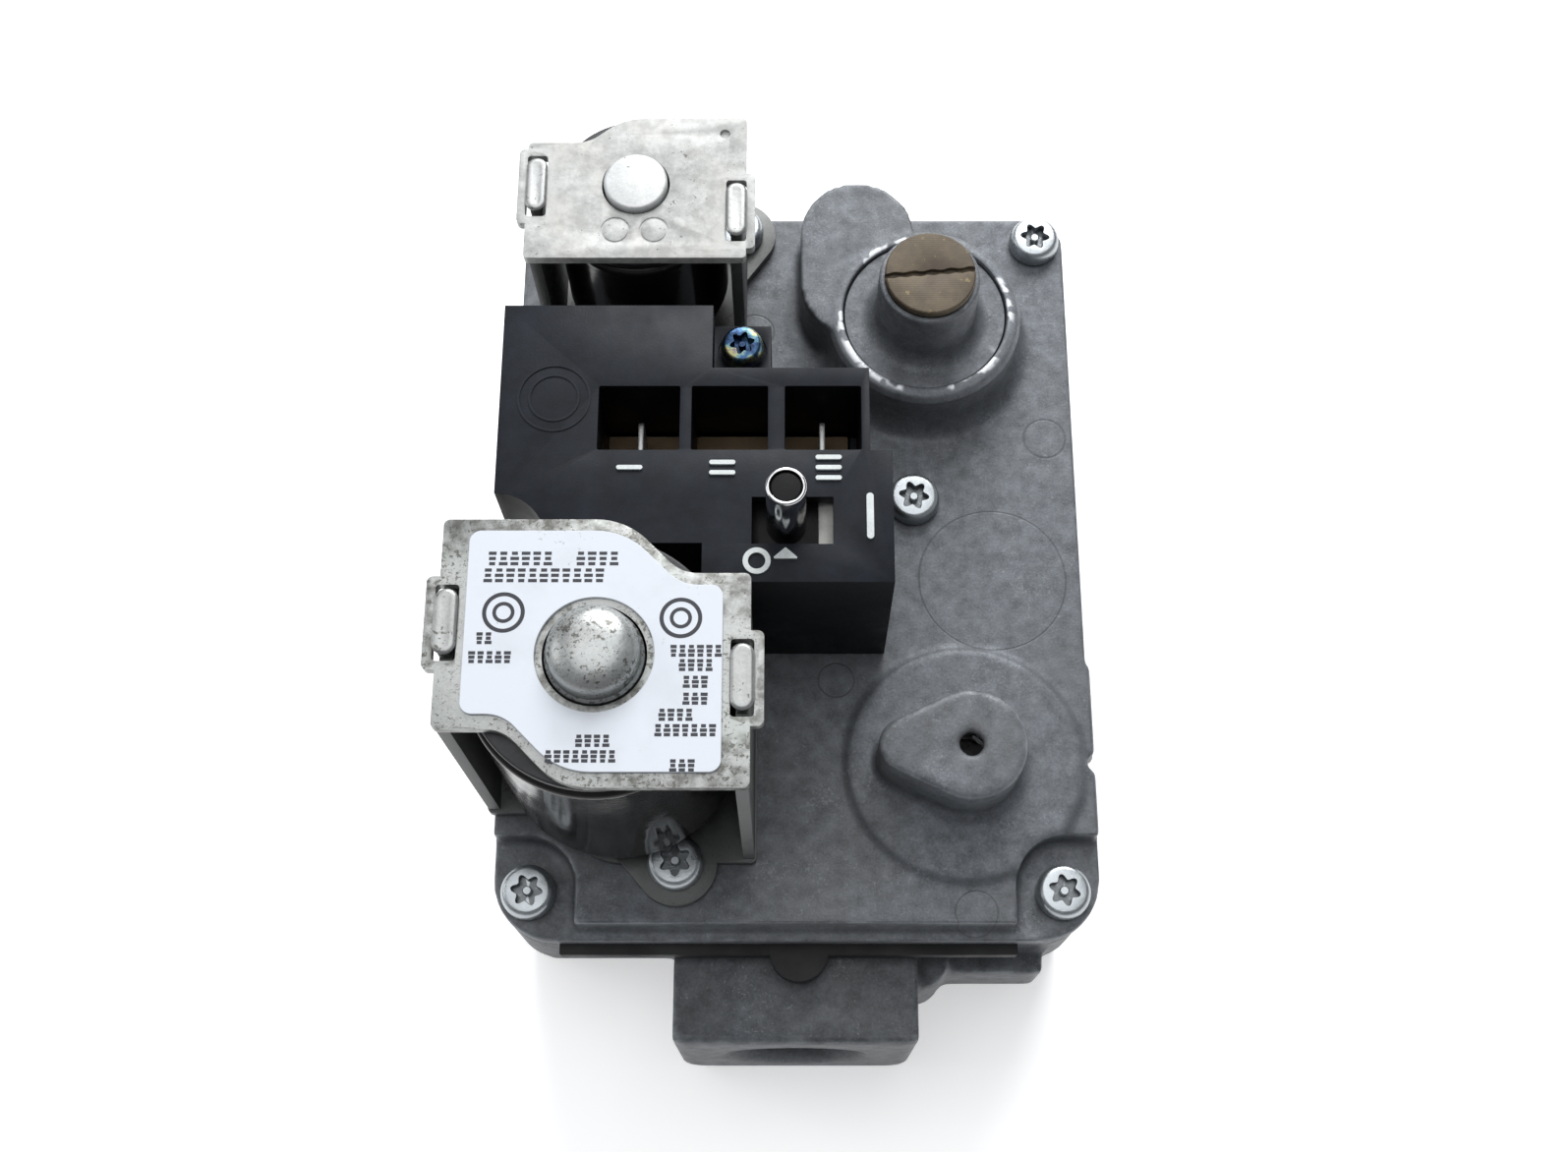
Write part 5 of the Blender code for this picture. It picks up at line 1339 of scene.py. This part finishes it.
def stakes(which):
    """Places of the two staked leg ends and the way each tab points out."""
    x, y = plate_centre(which)
    if which == "front":
        return [((x - 18.1, y + 3.5), -1.0), ((x + 18.1, y - 3.5), 1.0)]
    return [((x - 14.1, y + 0.2), -1.0), ((x + 14.1, y - 3.8), 1.0)]


def leg_ranges(which):
    y = plate_centre(which).y
    if which == "front":
        return [(y - 9.4, y + 16.5), (y - 16.5, y + 9.4)]
    return [(y - 10.8, y + 4.8), (y - 10.8, y + 5.8)]


def stake_head(spot, z0):
    """A hammered leg end: an oval cushion with a dished top."""
    x, y = spot
    half_x, half_y = 1.5, 4.2
    made = bmesh.new()
    rings = []
    for inset, z in (
        (0.5, z0 - 0.6),
        (0.05, z0 - 0.1),
        (0.0, z0 + 0.15),
        (0.15, z0 + 0.35),
        (0.45, z0 + 0.46),
        (0.9, z0 + 0.38),
    ):
        round_end = half_x - inset - 0.02
        outline = rectangle(
            x - half_x + inset, x + half_x - inset, y - half_y + inset, y + half_y - inset, round_end
        )
        rings.append([made.verts.new((point.x, point.y, z)) for point in outline])
    for ring, after in zip(rings, rings[1:]):
        for number in range(len(ring)):
            other = (number + 1) % len(ring)
            made.faces.new((ring[number], ring[other], after[other], after[number]))
    made.faces.new(reversed(rings[0]))
    made.faces.new(rings[-1])
    return made


class VALVE_OT_solenoids(bpy.types.Operator):
    """Build both solenoids: frame, yoke plate, coil, bobbin and core tube"""

    bl_idname = "valve.solenoids"
    bl_label = "Solenoids"

    def execute(self, context):
        finishes = {
            "front": zinc_sheet("zinc_front", 0.74, (0.34, 0.37, 0.35, 1.0), 0.80, 0.8),
            "rear": zinc_sheet("zinc_rear", 1.0, (0.46, 0.45, 0.42, 1.0), 0.60, 0.3, 0.3, 0.18),
        }
        for which, finish in finishes.items():
            self.make_plate(context, which, finish)
            self.make_frame(context, which)
            self.make_coil(which)
            self.make_tube(which)
        return {"FINISHED"}

    def make_plate(self, context, which, finish):
        top = PLATE_TOPS[which]
        low = top - SHEET
        tabs, slots = [], []
        for (x, y), outward in stakes(which):
            x0, x1 = sorted((x + outward * 2.64, x - outward * 1.6))
            tabs.append(slab(x0, x1, y - 6.0, y + 6.0, low, top, 0.8))
            slots.append(slab(x - 1.45, x + 1.45, y - 4.9, y + 4.9, low - PAST, top + PAST, 0.5))
        radius = 6.4 if which == "front" else 4.8
        slots.append(rod(AXES[which], radius, low - PAST, top + PAST))
        if which == "rear":
            centre = plate_centre(which)
            slots.append(rod((centre.x + 12.4, centre.y + 8.7), 0.75, top - 0.5, top + PAST, 0.0, 32))
            for across in (-2.7, 2.7):
                stamp = (AXES[which].x + across, AXES[which].y - 7.3)
                slots.append(turned(flat_ring(1.75, 2.05, top, 0.14), stamp, 48))
        edge = context.scene.valve_solenoids.sheet_edge
        plate = shaped(
            f"{which}_yoke_plate", prism(plate_outline(which), low, top), finish, tabs, slots, edge, 3
        )
        place(plate, ROOT, "zinc_steel", f"{which}_solenoid_plate")

    def make_frame(self, context, which):
        top = PLATE_TOPS[which] - SHEET - GAP
        axis = AXES[which]
        ear = middle_of(f"{which}_solenoid_screw").xy
        root = ear + (axis - ear) * 0.45
        legs, heads = [], []
        for ((x, y), _), (y0, y1) in zip(stakes(which), leg_ranges(which)):
            legs.append(slab(x - SHEET / 2, x + SHEET / 2, y0, y1, ON_COVER + SHEET / 2, top))
            legs.append(slab(x - 0.7, x + 0.7, y - 4.0, y + 4.0, top - PAST, PLATE_TOPS[which] + 0.4))
            heads.append(stake_head((x, y), PLATE_TOPS[which] + GAP))
        if which == "front":
            outline = plate_outline(which)
        else:
            x, y = plate_centre(which)
            outline = rectangle(x - 14.9, x + 14.9, y - 11.3, y + 6.3, 1.0)
        lobe = prism(hull_of_circles(root, 8.0, ear, 5.8), ON_COVER, ON_COVER + SHEET)
        holes = [
            rod(axis, 8.0, ON_COVER - PAST, ON_COVER + SHEET + PAST),
            rod(ear, 1.9, ON_COVER - PAST, ON_COVER + SHEET + PAST, 0.0, 32),
        ]
        edge = context.scene.valve_solenoids.sheet_edge
        # Painted shade: the frames' zinc is made far darker than the plates', for the shadow on the legs'
        # inner faces.
        frame_zinc_in_shade = zinc_sheet("zinc_frame", 0.24, (0.10, 0.105, 0.105, 1.0), 0.66, 0.0, 0.6, 0.08)
        solid = shaped(
            f"{which}_frame", prism(outline, ON_COVER, ON_COVER + SHEET), frame_zinc_in_shade, [lobe, *legs], holes, edge
        )
        place(solid, ROOT, "zinc_steel", f"{which}_solenoid_frame")
        staked = joined(
            f"{which}_staked_ends", heads, zinc_sheet("zinc_stake", 0.72, (0.36, 0.37, 0.37, 1.0), 0.7, 0.3)
        )
        place(staked, ROOT, "zinc_steel")

    def make_coil(self, which):
        axis = AXES[which]
        low, high = box_of(f"{which}_bobbin")
        coil_low, coil_high = box_of(f"{which}_coil")
        inner = 6.4 if which == "front" else 4.8
        outer = (coil_high.x - coil_low.x) / 2
        rim = (high.x - low.x) / 2
        spool = [
            (inner, low.z),
            (rim, low.z, 0.3),
            (rim, low.z + 1.3, 0.3),
            (inner + 1.6, low.z + 1.3),
            (inner + 1.6, high.z - 1.3),
            (rim, high.z - 1.3, 0.3),
            (rim, high.z, 0.3),
            (inner, high.z),
        ]
        plastic = moulded_plastic("bobbin_plastic", (0.014, 0.014, 0.016, 1.0), 0.3, 0.5, 0.2)
        place(
            shaped(f"{which}_spool", turned(spool, axis), plastic), ROOT, "black_plastic", f"{which}_bobbin"
        )
        waist = outer - 0.12
        casing = [(inner + 1.9, coil_low.z), (outer, coil_low.z, 0.9)]
        casing += [
            (waist, coil_low.z + 2.0, 1.0),
            (waist, coil_high.z - 2.0, 1.0),
            (outer, coil_high.z, 0.9),
            (inner + 1.9, coil_high.z),
        ]
        place(
            shaped(f"{which}_coil_casing", turned(casing, axis, 128), coil_casing()),
            ROOT,
            "coil_black",
            f"{which}_coil",
        )

    def make_tube(self, which):
        axis = AXES[which]
        low, high = box_of(f"{which}_core_tube")
        flange = ON_COVER + SHEET + GAP
        radius = 6.1 if which == "front" else 4.5
        top = PLATE_TOPS[which]
        profile = [
            (radius - 1.0, low.z),
            (7.7, low.z),
            (7.7, flange),
            (9.4, flange, 0.2),
            (9.4, flange + 1.2, 0.3),
            (radius, flange + 1.2),
        ]
        if which == "front":
            steps = [math.pi / 2 * number / 14 for number in range(15)]
            shoulder = top + (high.z - top) * 0.48
            rise = high.z - shoulder
            crown = radius - 0.45
            profile += [(radius, top + 0.1), (radius - 0.35, top + 0.5), (crown, shoulder)]
            profile += [(crown * math.cos(a) ** 0.70, shoulder + rise * math.sin(a)) for a in steps[1:-1]]
        else:
            profile += [(radius, high.z - 0.01, 0.45)]
        roof = top - SHEET - GAP - 1.0
        profile += [(0.0, high.z), (0.0, roof), (radius - 1.0, roof)]
        finish = zinc_sheet("zinc_dome", 0.8, (0.40, 0.44, 0.44, 1.0), 0.86, 0.2)
        if which == "rear":
            finish = zinc_sheet("zinc_plug", 1.15, (0.50, 0.52, 0.55, 1.0), 0.5, 0.0, 0.3, 0.1)
        place(
            shaped(f"{which}_core_cap", turned(profile, axis), finish),
            ROOT,
            "zinc_steel",
            f"{which}_core_tube",
        )


# Label. Each line of print is (x, y, length, height) about the front solenoid's axis.
LABEL_LINES = [
    (-9.5, 12.3, 8.2, 1.9), (0.0, 12.3, 4.8, 1.9), (
        -6.5, 10.1, 14.4, 1.9
    ), (-13.4, 2.0, 2.6, 1.5), (-12.6, -0.4, 5.0, 1.5),
    (12.3, 0.4, 6.0, 1.5), (
        12.3, -1.4, 3.8, 1.5
    ), (12.3, -3.5, 3.4, 1.5), (12.3, -5.6, 3.4, 1.5), (10.0, -7.6, 3.8, 1.5),
    (11.2, -9.5, 7.4, 1.5), (0.2, -10.8, 3.8, 1.5), (-1.2, -12.7, 8.8, 1.5), (10.9, -13.8, 3.4, 1.5),
]
LABEL_RINGS = [(-11.2, 5.3), (10.4, 4.6)]


def bars_tree():
    """Geometry nodes: a flat bar on every point, as long as the point's own length."""
    tree = bpy.data.node_groups.new("Bars On Points", "GeometryNodeTree")
    sockets = {}
    for label, kind in (
        ("Points", "Geometry"), ("Bar Height", "Float"), ("Thickness", "Float"), ("Finish", "Material")
    ):
        sockets[label] = tree.interface.new_socket(
            label, in_out="INPUT", socket_type=f"NodeSocket{kind}"
        ).identifier
    tree.interface.new_socket("Bars", in_out="OUTPUT", socket_type="NodeSocketGeometry")
    given = tree.nodes.new("NodeGroupInput").outputs
    result = tree.nodes.new("NodeGroupOutput").inputs
    length = add_node(tree, "GeometryNodeInputNamedAttribute", {"Name": "length"}, data_type="FLOAT")
    size = add_node(
        tree,
        "ShaderNodeCombineXYZ",
        {"X": length.outputs[0], "Y": given["Bar Height"], "Z": given["Thickness"]},
    )
    cube = add_node(tree, "GeometryNodeMeshCube")
    values = {"Points": given["Points"], "Instance": cube.outputs["Mesh"], "Scale": size.outputs[0]}
    spread = add_node(tree, "GeometryNodeInstanceOnPoints", values)
    real = add_node(tree, "GeometryNodeRealizeInstances", {"Geometry": spread.outputs[0]})
    finish = add_node(
        tree, "GeometryNodeSetMaterial", {"Geometry": real.outputs[0], "Material": given["Finish"]}
    )
    tree.links.new(finish.outputs[0], result["Bars"])
    return tree, sockets


def greeked(lines):
    """Stands in for print: three thin dashes on top of each other for each of a line's characters."""
    cells = []
    for x, y, length, height in lines:
        pitch = height * 0.72
        count = max(2, round(length / pitch))
        start = x - (count - 1) * pitch / 2
        for number in range(count):
            for row in (-1, 0, 1):
                shorter = 0.24 * ((number * 5 + row * 3 + count) % 4) / 3
                cells.append((start + pitch * number, y + row * height * 0.36, pitch * (0.78 - shorter)))
    return cells


class VALVE_OT_label(bpy.types.Operator):
    """Lay the white label on the front yoke plate, with plain printed bars and rings"""

    bl_idname = "valve.label"
    bl_label = "Label"

    def execute(self, context):
        low, high = box_of("front_label")
        axis = AXES["front"]
        margin = 1.7
        reach = (high.x - low.x) / 2
        outline = plate_outline("front", margin, reach + margin, 1.5)
        hole = rod(axis, 7.27, low.z - PAST, high.z + PAST)
        film = shaped(
            "label_film", prism(outline, low.z - GAP, high.z), label_paper(), (), [hole], 0.00006, 1
        )
        place(film, ROOT, "white_label", "front_label")
        self.print_marks(context, high.z)
        return {"FINISHED"}

    def print_marks(self, context, z):
        axis = AXES["front"]
        ink = plain_paint("label_ink", (0.018, 0.02, 0.03, 1.0), 0.5)
        cells = greeked(LABEL_LINES)
        item = points_object("label_print", [(axis.x + x, axis.y + y, z) for x, y, _ in cells])
        lengths = item.data.attributes.new("length", "FLOAT", "POINT")
        lengths.data.foreach_set("value", [length * MM for _, _, length in cells])
        tree, sockets = bars_tree()
        modifier = item.modifiers.new("Bars", "NODES")
        modifier.node_group = tree
        height = context.scene.valve_solenoids.print_height
        for label, value in (("Bar Height", height), ("Thickness", 0.00004), ("Finish", ink)):
            modifier[sockets[label]] = value
        settle(item)
        place(item, ROOT, "white_label")
        rings = [turned(flat_ring(2.1, 2.6, z, 0.02), (axis.x + x, axis.y + y), 64) for x, y in LABEL_RINGS]
        rings += [turned(flat_ring(0.9, 1.35, z, 0.02), (axis.x + x, axis.y + y), 48) for x, y in LABEL_RINGS]
        place(joined("label_rings", rings, ink), ROOT, "white_label")


def flat_ring(inner, outer, z, half):
    return [(inner, z - half), (outer, z - half), (outer, z + half), (inner, z + half)]


# Terminal block and switch.

CAVITY_Y = (2.9, 12.4)
CAVITY_X = [-9.0 + 12.7 * position for position in (-1, 0, 1)]
SLOT = (-5.9, 5.0, -10.7, -4.0)
NOTCH = 7.2


def block_outline(inset=0.0):
    """The block's plan: a wide rear part, a waist at the regulator, and a notch round the front solenoid."""
    left, right = BLOCK_LOW.x, RIGHT - 30.2
    waist = right - 3.0
    notch_y = FRONT + 54.1
    steps = [math.radians(7.5 * number) for number in range(13)]
    arc = [
        (left + (NOTCH + inset) * math.sin(a), notch_y - NOTCH + (NOTCH + inset) * math.cos(a)) for a in steps
    ]
    step_x = LEFT + 31.8
    outline = [(left + inset, BLOCK_HIGH.y - inset), (left + inset, notch_y + inset)]
    outline += [(x, y) for x, y in arc if x > left + inset + 0.01]
    outline += [
        (-12.5 + inset, notch_y - NOTCH + inset),
        (-12.5 + inset, BLOCK_LOW.y + inset),
        (right - inset, BLOCK_LOW.y + inset),
        (right - inset, 2.9 - inset),
        (waist - inset, 2.9 - inset),
        (waist - inset, 15.2 - inset),
        (step_x - inset, 15.2 - inset),
        (step_x - inset, BLOCK_HIGH.y - inset),
    ]
    return [Vector(point) for point in outline]


def stroke(first, second, width, z0, z1):
    """A straight raised stroke with round ends."""
    return prism(hull_of_circles(first, width / 2, second, width / 2 * 0.999), z0, z1)


class VALVE_OT_block(bpy.types.Operator):
    """Build the terminal block with its cavities, slot, screw lug and raised marks"""

    bl_idname = "valve.block"
    bl_label = "Terminal block"

    def execute(self, context):
        looks = context.scene.valve_block
        low, top = ON_COVER - PAST, BLOCK_HIGH.z
        board_top = box_of("terminal_board")[1].z
        roof = top - 2.2
        step_x, lug_right = LEFT + 31.8, LEFT + 39.8
        lug_top = top - 4.5
        lug_back = BLOCK_HIGH.y - 0.9
        spans = [(x - 5.2, x + 5.2) for x in CAVITY_X]
        spans[0] = (spans[0][0], spans[0][1] + 0.7)
        cavities = [slab(*reach, *CAVITY_Y, board_top - PAST, top + PAST, 0.25) for reach in spans]
        lug = slab(step_x - 1.0, lug_right, 14.2, lug_back, ON_COVER, lug_top)
        lug_screw = middle_of("block_screw").xy
        cuts = [
            prism(block_outline(2.2), low, board_top + GAP),
            slab(-10.3, RIGHT - 32.4, BLOCK_LOW.y + 2.2, 0.7, board_top - PAST, roof),
            slab(*SLOT, roof - PAST, top + PAST),
            *cavities,
            rod(lug_screw, 1.9, low, lug_top + PAST, 0.0, 32),
            rod(lug_screw, 3.4, lug_top - 0.35, lug_top + PAST, 0.0, 48),
        ]
        # The pale blue-grey on the block's top is partly a dusting and partly painted sheen from the key
        # light.
        plastic = moulded_plastic(
            "block_plastic", looks.plastic_colour, 0.40, 0.56, 0.50, (0.026, 0.033, 0.048, 1.0), 0.16
        )
        housing = shaped(
            "block_housing",
            prism(block_outline(), ON_COVER, top),
            plastic,
            [lug],
            cuts,
            looks.moulded_edge,
            2,
        )
        place(housing, ROOT, "black_plastic", "terminal_block")
        self.make_marks(looks, top)
        self.make_terminals()
        return {"FINISHED"}

    def make_marks(self, looks, top):
        """Raised marks: one to three bars at the terminals, and a bar, a ring and an arrow at the switch."""
        z0, z1 = top - 0.1, top + looks.mark_rise / MM
        solids = []
        for number, (x, aside) in enumerate(zip(CAVITY_X, (-0.7, -0.9, 0.7))):
            for bar in range(number + 1):
                y = 0.2 + (bar - number / 2) * 1.5
                solids.append(stroke((x + aside - 1.45, y), (x + aside + 1.45, y), 0.62, z0, z1))
        solids.append(stroke((9.9, -9.6), (9.9, -4.0), 0.95, z0, z1))
        solids.append(turned(flat_ring(1.15, 1.85, (z0 + z1) / 2, (z1 - z0) / 2), (-5.2, -13.2), 48))
        arrow = round_corners([(-3.2, -12.9, 0.15), (0.4, -12.9, 0.15), (-1.4, -11.3, 0.15)])
        solids.append(prism(arrow, z0, z1))
        paint = plain_paint("mark_paint", looks.mark_colour, 0.5)
        place(joined("block_marks", solids, paint), ROOT, "black_plastic")
        profiles = [flat_ring(radius, radius + 0.35, top + 0.02, 0.14) for radius in (3.2, 4.7)]
        rings = [turned(profile, (-33.0, 10.6), 96) for profile in profiles]
        plastic = bpy.data.materials["block_plastic"]
        place(joined("block_moulded_rings", rings, plastic), ROOT, "black_plastic")

    def make_terminals(self):
        """Spade terminals with bevelled tips and the hole near each tip."""
        finish = zinc_sheet("tinned_tab", 1.0, (0.60, 0.60, 0.58, 1.0), 0.5, 0.2)
        board_top = box_of("terminal_board")[1].z
        for side in ("left", "right"):
            low, high = box_of(f"terminal_tab_{side}")
            middle = (low + high) / 2
            outline = round_corners(
                [
                    (low.y, board_top + GAP), (
                        middle.y - 1.5, board_top + GAP
                    ), (middle.y - 1.5, low.z), (middle.y + 1.5, low.z),
                    (
                        middle.y + 1.5, board_top + GAP
                    ), (high.y, board_top + GAP), (high.y, high.z, 0.9), (low.y, high.z, 0.9),
                ]
            )
            blade = prism(outline, -0.4, 0.4)
            for vertex in blade.verts:
                vertex.co = Vector((middle.x + vertex.co.z, vertex.co.x, vertex.co.y))
            hole = lay_down(
                rod((0.0, 0.0), 0.8, -PAST, PAST, 0.0, 32),
                (middle.x, middle.y, high.z - 3.2),
                (1.0, 0.0, 0.0),
            )
            tab = shaped(f"spade_{side}", blade, finish, (), [hole], 0.00018)
            place(tab, ROOT, "zinc_steel", f"terminal_tab_{side}")


class VALVE_OT_switch(bpy.types.Operator):
    """Build the switch lever, its black core and the white slider"""

    bl_idname = "valve.switch"
    bl_label = "Switch"

    def execute(self, context):
        low, high = box_of("switch_lever")
        axis = ((low.x + high.x) / 2, (low.y + high.y) / 2)
        radius = (high.x - low.x) / 2
        inner = radius - 0.45
        sleeve = [
            (inner, low.z),
            (radius, low.z, 0.1),
            (radius, high.z, 0.3),
            (inner - 0.05, high.z, 0.1),
            (inner, high.z - 0.6),
        ]
        lever = shaped("lever_sleeve", turned(sleeve, axis), bright_chrome())
        place(lever, "switch_carriage", "chrome", "switch_lever")
        core_low, core_high = box_of("switch_lever_core")
        collar_top = low.z - GAP
        core = rod(axis, inner - 0.05, core_low.z, high.z - 0.35, 0.35)
        collar = slab(core_low.x, core_high.x, core_low.y, core_high.y, core_low.z, collar_top)
        black = moulded_plastic(
            "lever_black", (0.0025, 0.0025, 0.003, 1.0), 0.25, 0.4, 0.12, (0.02, 0.022, 0.026, 1.0), 0.15
        )
        item = shaped("lever_core", core, black, [collar], (), 0.00015)
        place(item, "switch_carriage", "black_plastic", "switch_lever_core")
        low, high = box_of("switch_slider")
        nylon = plain_paint("slider_nylon", (0.60, 0.60, 0.57, 1.0), 0.42)
        slider = shaped(
            "slide_plate", slab(low.x, high.x, low.y, high.y, low.z, high.z, 0.6), nylon, (), (), 0.0002
        )
        place(slider, "switch_carriage", "white_nylon", "switch_slider")
        return {"FINISHED"}


# Regulator.


class VALVE_OT_regulator(bpy.types.Operator):
    """Build the regulator's bonnet with its tower, the rolled rim and the slotted brass cap"""

    bl_idname = "valve.regulator"
    bl_label = "Regulator"

    def execute(self, context):
        self.make_bonnet()
        self.make_cap()
        return {"FINISHED"}

    def make_bonnet(self):
        low, high = box_of("regulator_bonnet")
        outer = (high.x - low.x) / 2
        shelf = COVER_TOP + RIM_HEIGHT - 0.75
        brim = WELL_MOUTH - 0.2
        tower, cap = 7.43, 6.65
        shoulder = high.z - 4.2
        profile = [
            (outer - 1.2, low.z),
            (outer, low.z),
            (outer, shelf - 1.6),
            (brim, shelf - 1.6),
            (brim, shelf, 0.15),
            (tower + 0.1, shelf - 0.3, 2.4),
            (tower, high.z, 0.45),
            (cap, high.z),
            (cap, high.z - 1.3),
            (5.6, high.z - 1.3),
            (5.6, shoulder),
            (4.9, shoulder),
            (4.9, COVER_TOP + 5.5),
            (outer - 1.2, COVER_TOP + 5.5),
        ]
        bonnet = shaped(
            "bonnet_casting", turned(profile, REGULATOR), cast_metal("bonnet_metal", 1.02, 0.52, 0.6)
        )
        place(bonnet, ROOT, "cast_aluminium", "regulator_bonnet")
        rim_top = COVER_TOP + RIM_HEIGHT
        lip = [
            (WELL_MOUTH + 0.05, rim_top - 1.9),
            (RIM_RADIUS - 0.3, rim_top - 1.9),
            (RIM_RADIUS + 0.12, rim_top - 1.3, 0.2),
            (RIM_RADIUS - 0.45, rim_top - 0.2, 0.7),
            (RIM_RADIUS - 1.6, rim_top + 0.02, 0.9),
            (WELL_MOUTH + 0.05, rim_top - 0.1, 0.2),
        ]
        rolled = shaped(
            "rolled_lip", turned(lip, REGULATOR, 128), cast_metal("lip_metal", 1.15, rubbed=LIP_WEAR)
        )
        place(rolled, ROOT, "cast_aluminium")

    def make_cap(self):
        low, high = box_of("regulator_cap")
        radius = (high.x - low.x) / 2
        tower_top = box_of("regulator_bonnet")[1].z
        profile = [
            (0.0, low.z),
            (5.3, low.z),
            (5.3, tower_top + 0.2),
            (radius, tower_top + 0.2, 0.15),
            (radius, high.z, 0.35),
            (0.0, high.z),
        ]
        slot = bmesh.new()
        ragged = [-radius - 1.0 + (2 * radius + 2.0) * number / 30 for number in range(31)]
        outline = [(x, -0.42 - 0.09 * math.sin(3.1 * x)) for x in ragged]
        outline += [(x, 0.42 + 0.11 * math.sin(2.3 * x + 1.0)) for x in reversed(ragged)]
        add_prism(slot, outline, high.z - 0.8, high.z + PAST)
        slot.transform(
            Matrix.Translation((REGULATOR.x, REGULATOR.y, 0.0)) @ Matrix.Rotation(math.radians(5.0), 4, "Z")
        )
        cap = shaped("slotted_cap", turned(profile, REGULATOR), old_brass(), (), [slot], 0.00008)
        place(cap, "cap", "brass", "regulator_cap")


# What stays as the frame has it.

INNER_FINISHES = {
    "steel": "inner_steel",
    "rubber": "inner_rubber",
    "brass": "inner_brass",
    "zinc_steel": "zinc_bright",
    "board": "tan_board",
    "white_nylon": "slider_nylon",
    "black_plastic": "bobbin_plastic",
}


class VALVE_OT_inside(bpy.types.Operator):
    """Give the inner pieces, the board, the screen and the tap plugs their finishes"""

    bl_idname = "valve.inside"
    bl_label = "Inner pieces"

    def execute(self, context):
        zinc_bright()
        plain_paint("inner_steel", (0.42, 0.42, 0.43, 1.0), 0.3, 0.95)
        plain_paint("inner_rubber", (0.014, 0.014, 0.015, 1.0), 0.65)
        plain_paint("inner_brass", (0.50, 0.36, 0.14, 1.0), 0.32, 0.9)
        plain_paint("tan_board", (0.155, 0.105, 0.055, 1.0), 0.6)
        for part in frame["record"]["subparts"]:
            finish = INNER_FINISHES.get(part["material_slot"])
            item = frame["nodes"].get(part["node"])
            if finish is None or item is None or item.hide_render:
                continue
            for slot in item.material_slots:
                slot.material = bpy.data.materials[finish]
        return {"FINISHED"}


# Stage.


class VALVE_OT_stage(bpy.types.Operator):
    """Set the pale floor, the soft lights and the camera"""

    bl_idname = "valve.stage"
    bl_label = "Stage"

    def execute(self, context):
        looks = context.scene.valve_stage
        floor = new_object("floor", slab(-1500.0, 1500.0, -1500.0, 1500.0, -2.0, -0.05), floor_paint())
        self.add_light("key_light", (0.10, 0.80, 0.62), 0.7, 11.0)
        self.add_light("top_light", (-0.05, 0.15, 1.10), 0.9, 4.0)
        self.add_light("side_light", (-0.75, 0.10, 0.50), 0.5, 1.4)
        world = bpy.data.worlds.new("studio")
        world.use_nodes = True
        world.node_tree.nodes["Background"].inputs["Color"].default_value = (0.93, 0.96, 1.0, 1.0)
        world.node_tree.nodes["Background"].inputs["Strength"].default_value = 0.28
        context.scene.world = world
        camera = bpy.data.objects.new("camera", bpy.data.cameras.new("camera"))
        camera.data.lens = looks.lens
        camera.data.sensor_width = 36.0
        camera.data.shift_x = -0.0043
        camera.data.shift_y = -0.0034
        camera.data.clip_start = 0.01
        camera.location = (-0.0007, -looks.camera_back, looks.camera_height)
        camera.rotation_euler = (math.pi / 2 - looks.camera_tilt, 0.0, 0.0)
        context.scene.collection.objects.link(camera)
        context.scene.camera = camera
        context.scene.view_settings.view_transform = "Standard"
        return {"FINISHED"}

    def add_light(self, name, spot, size, power):
        light = bpy.data.lights.new(name, "AREA")
        light.shape = "DISK"
        light.size = size
        light.energy = power
        item = bpy.data.objects.new(name, light)
        item.location = spot
        item.rotation_euler = (Vector((0.0, 0.0, 0.05)) - Vector(spot)).to_track_quat("-Z", "Y").to_euler()
        bpy.context.scene.collection.objects.link(item)


class VALVE_PT_looks(bpy.types.Panel):
    """Lists the valve's settings and the steps that build it"""

    bl_idname = "VALVE_PT_looks"
    bl_label = "Gas Valve"
    bl_space_type = "VIEW_3D"
    bl_region_type = "UI"
    bl_category = "Gas Valve"

    def draw(self, context):
        for name, group in SETTINGS.items():
            box = self.layout.box()
            box.label(text=group.__name__.replace("Settings", ""))
            for key in group.__annotations__:
                box.prop(getattr(context.scene, name), key)
        for operator in OPERATORS:
            self.layout.operator(operator.bl_idname)


SETTINGS = {
    "valve_castings": CastingSettings,
    "valve_solenoids": SolenoidSettings,
    "valve_block": BlockSettings,
    "valve_stage": StageSettings,
}
OPERATORS = [
    VALVE_OT_castings,
    VALVE_OT_solenoids,
    VALVE_OT_label,
    VALVE_OT_block,
    VALVE_OT_switch,
    VALVE_OT_regulator,
    VALVE_OT_screws,
    VALVE_OT_inside,
    VALVE_OT_stage,
]


def register():
    for item in (*SETTINGS.values(), *OPERATORS, VALVE_PT_looks):
        bpy.utils.register_class(item)
    for name, group in SETTINGS.items():
        setattr(bpy.types.Scene, name, bpy.props.PointerProperty(type=group))


def unregister():
    for name in SETTINGS:
        delattr(bpy.types.Scene, name)
    for item in reversed((*SETTINGS.values(), *OPERATORS, VALVE_PT_looks)):
        bpy.utils.unregister_class(item)


def main():
    register()
    bpy.ops.valve.castings()
    bpy.ops.valve.solenoids()
    bpy.ops.valve.label()
    bpy.ops.valve.block()
    bpy.ops.valve.switch()
    bpy.ops.valve.regulator()
    bpy.ops.valve.screws()
    bpy.ops.valve.inside()
    bpy.ops.valve.stage()


if __name__ == "__main__":
    main()
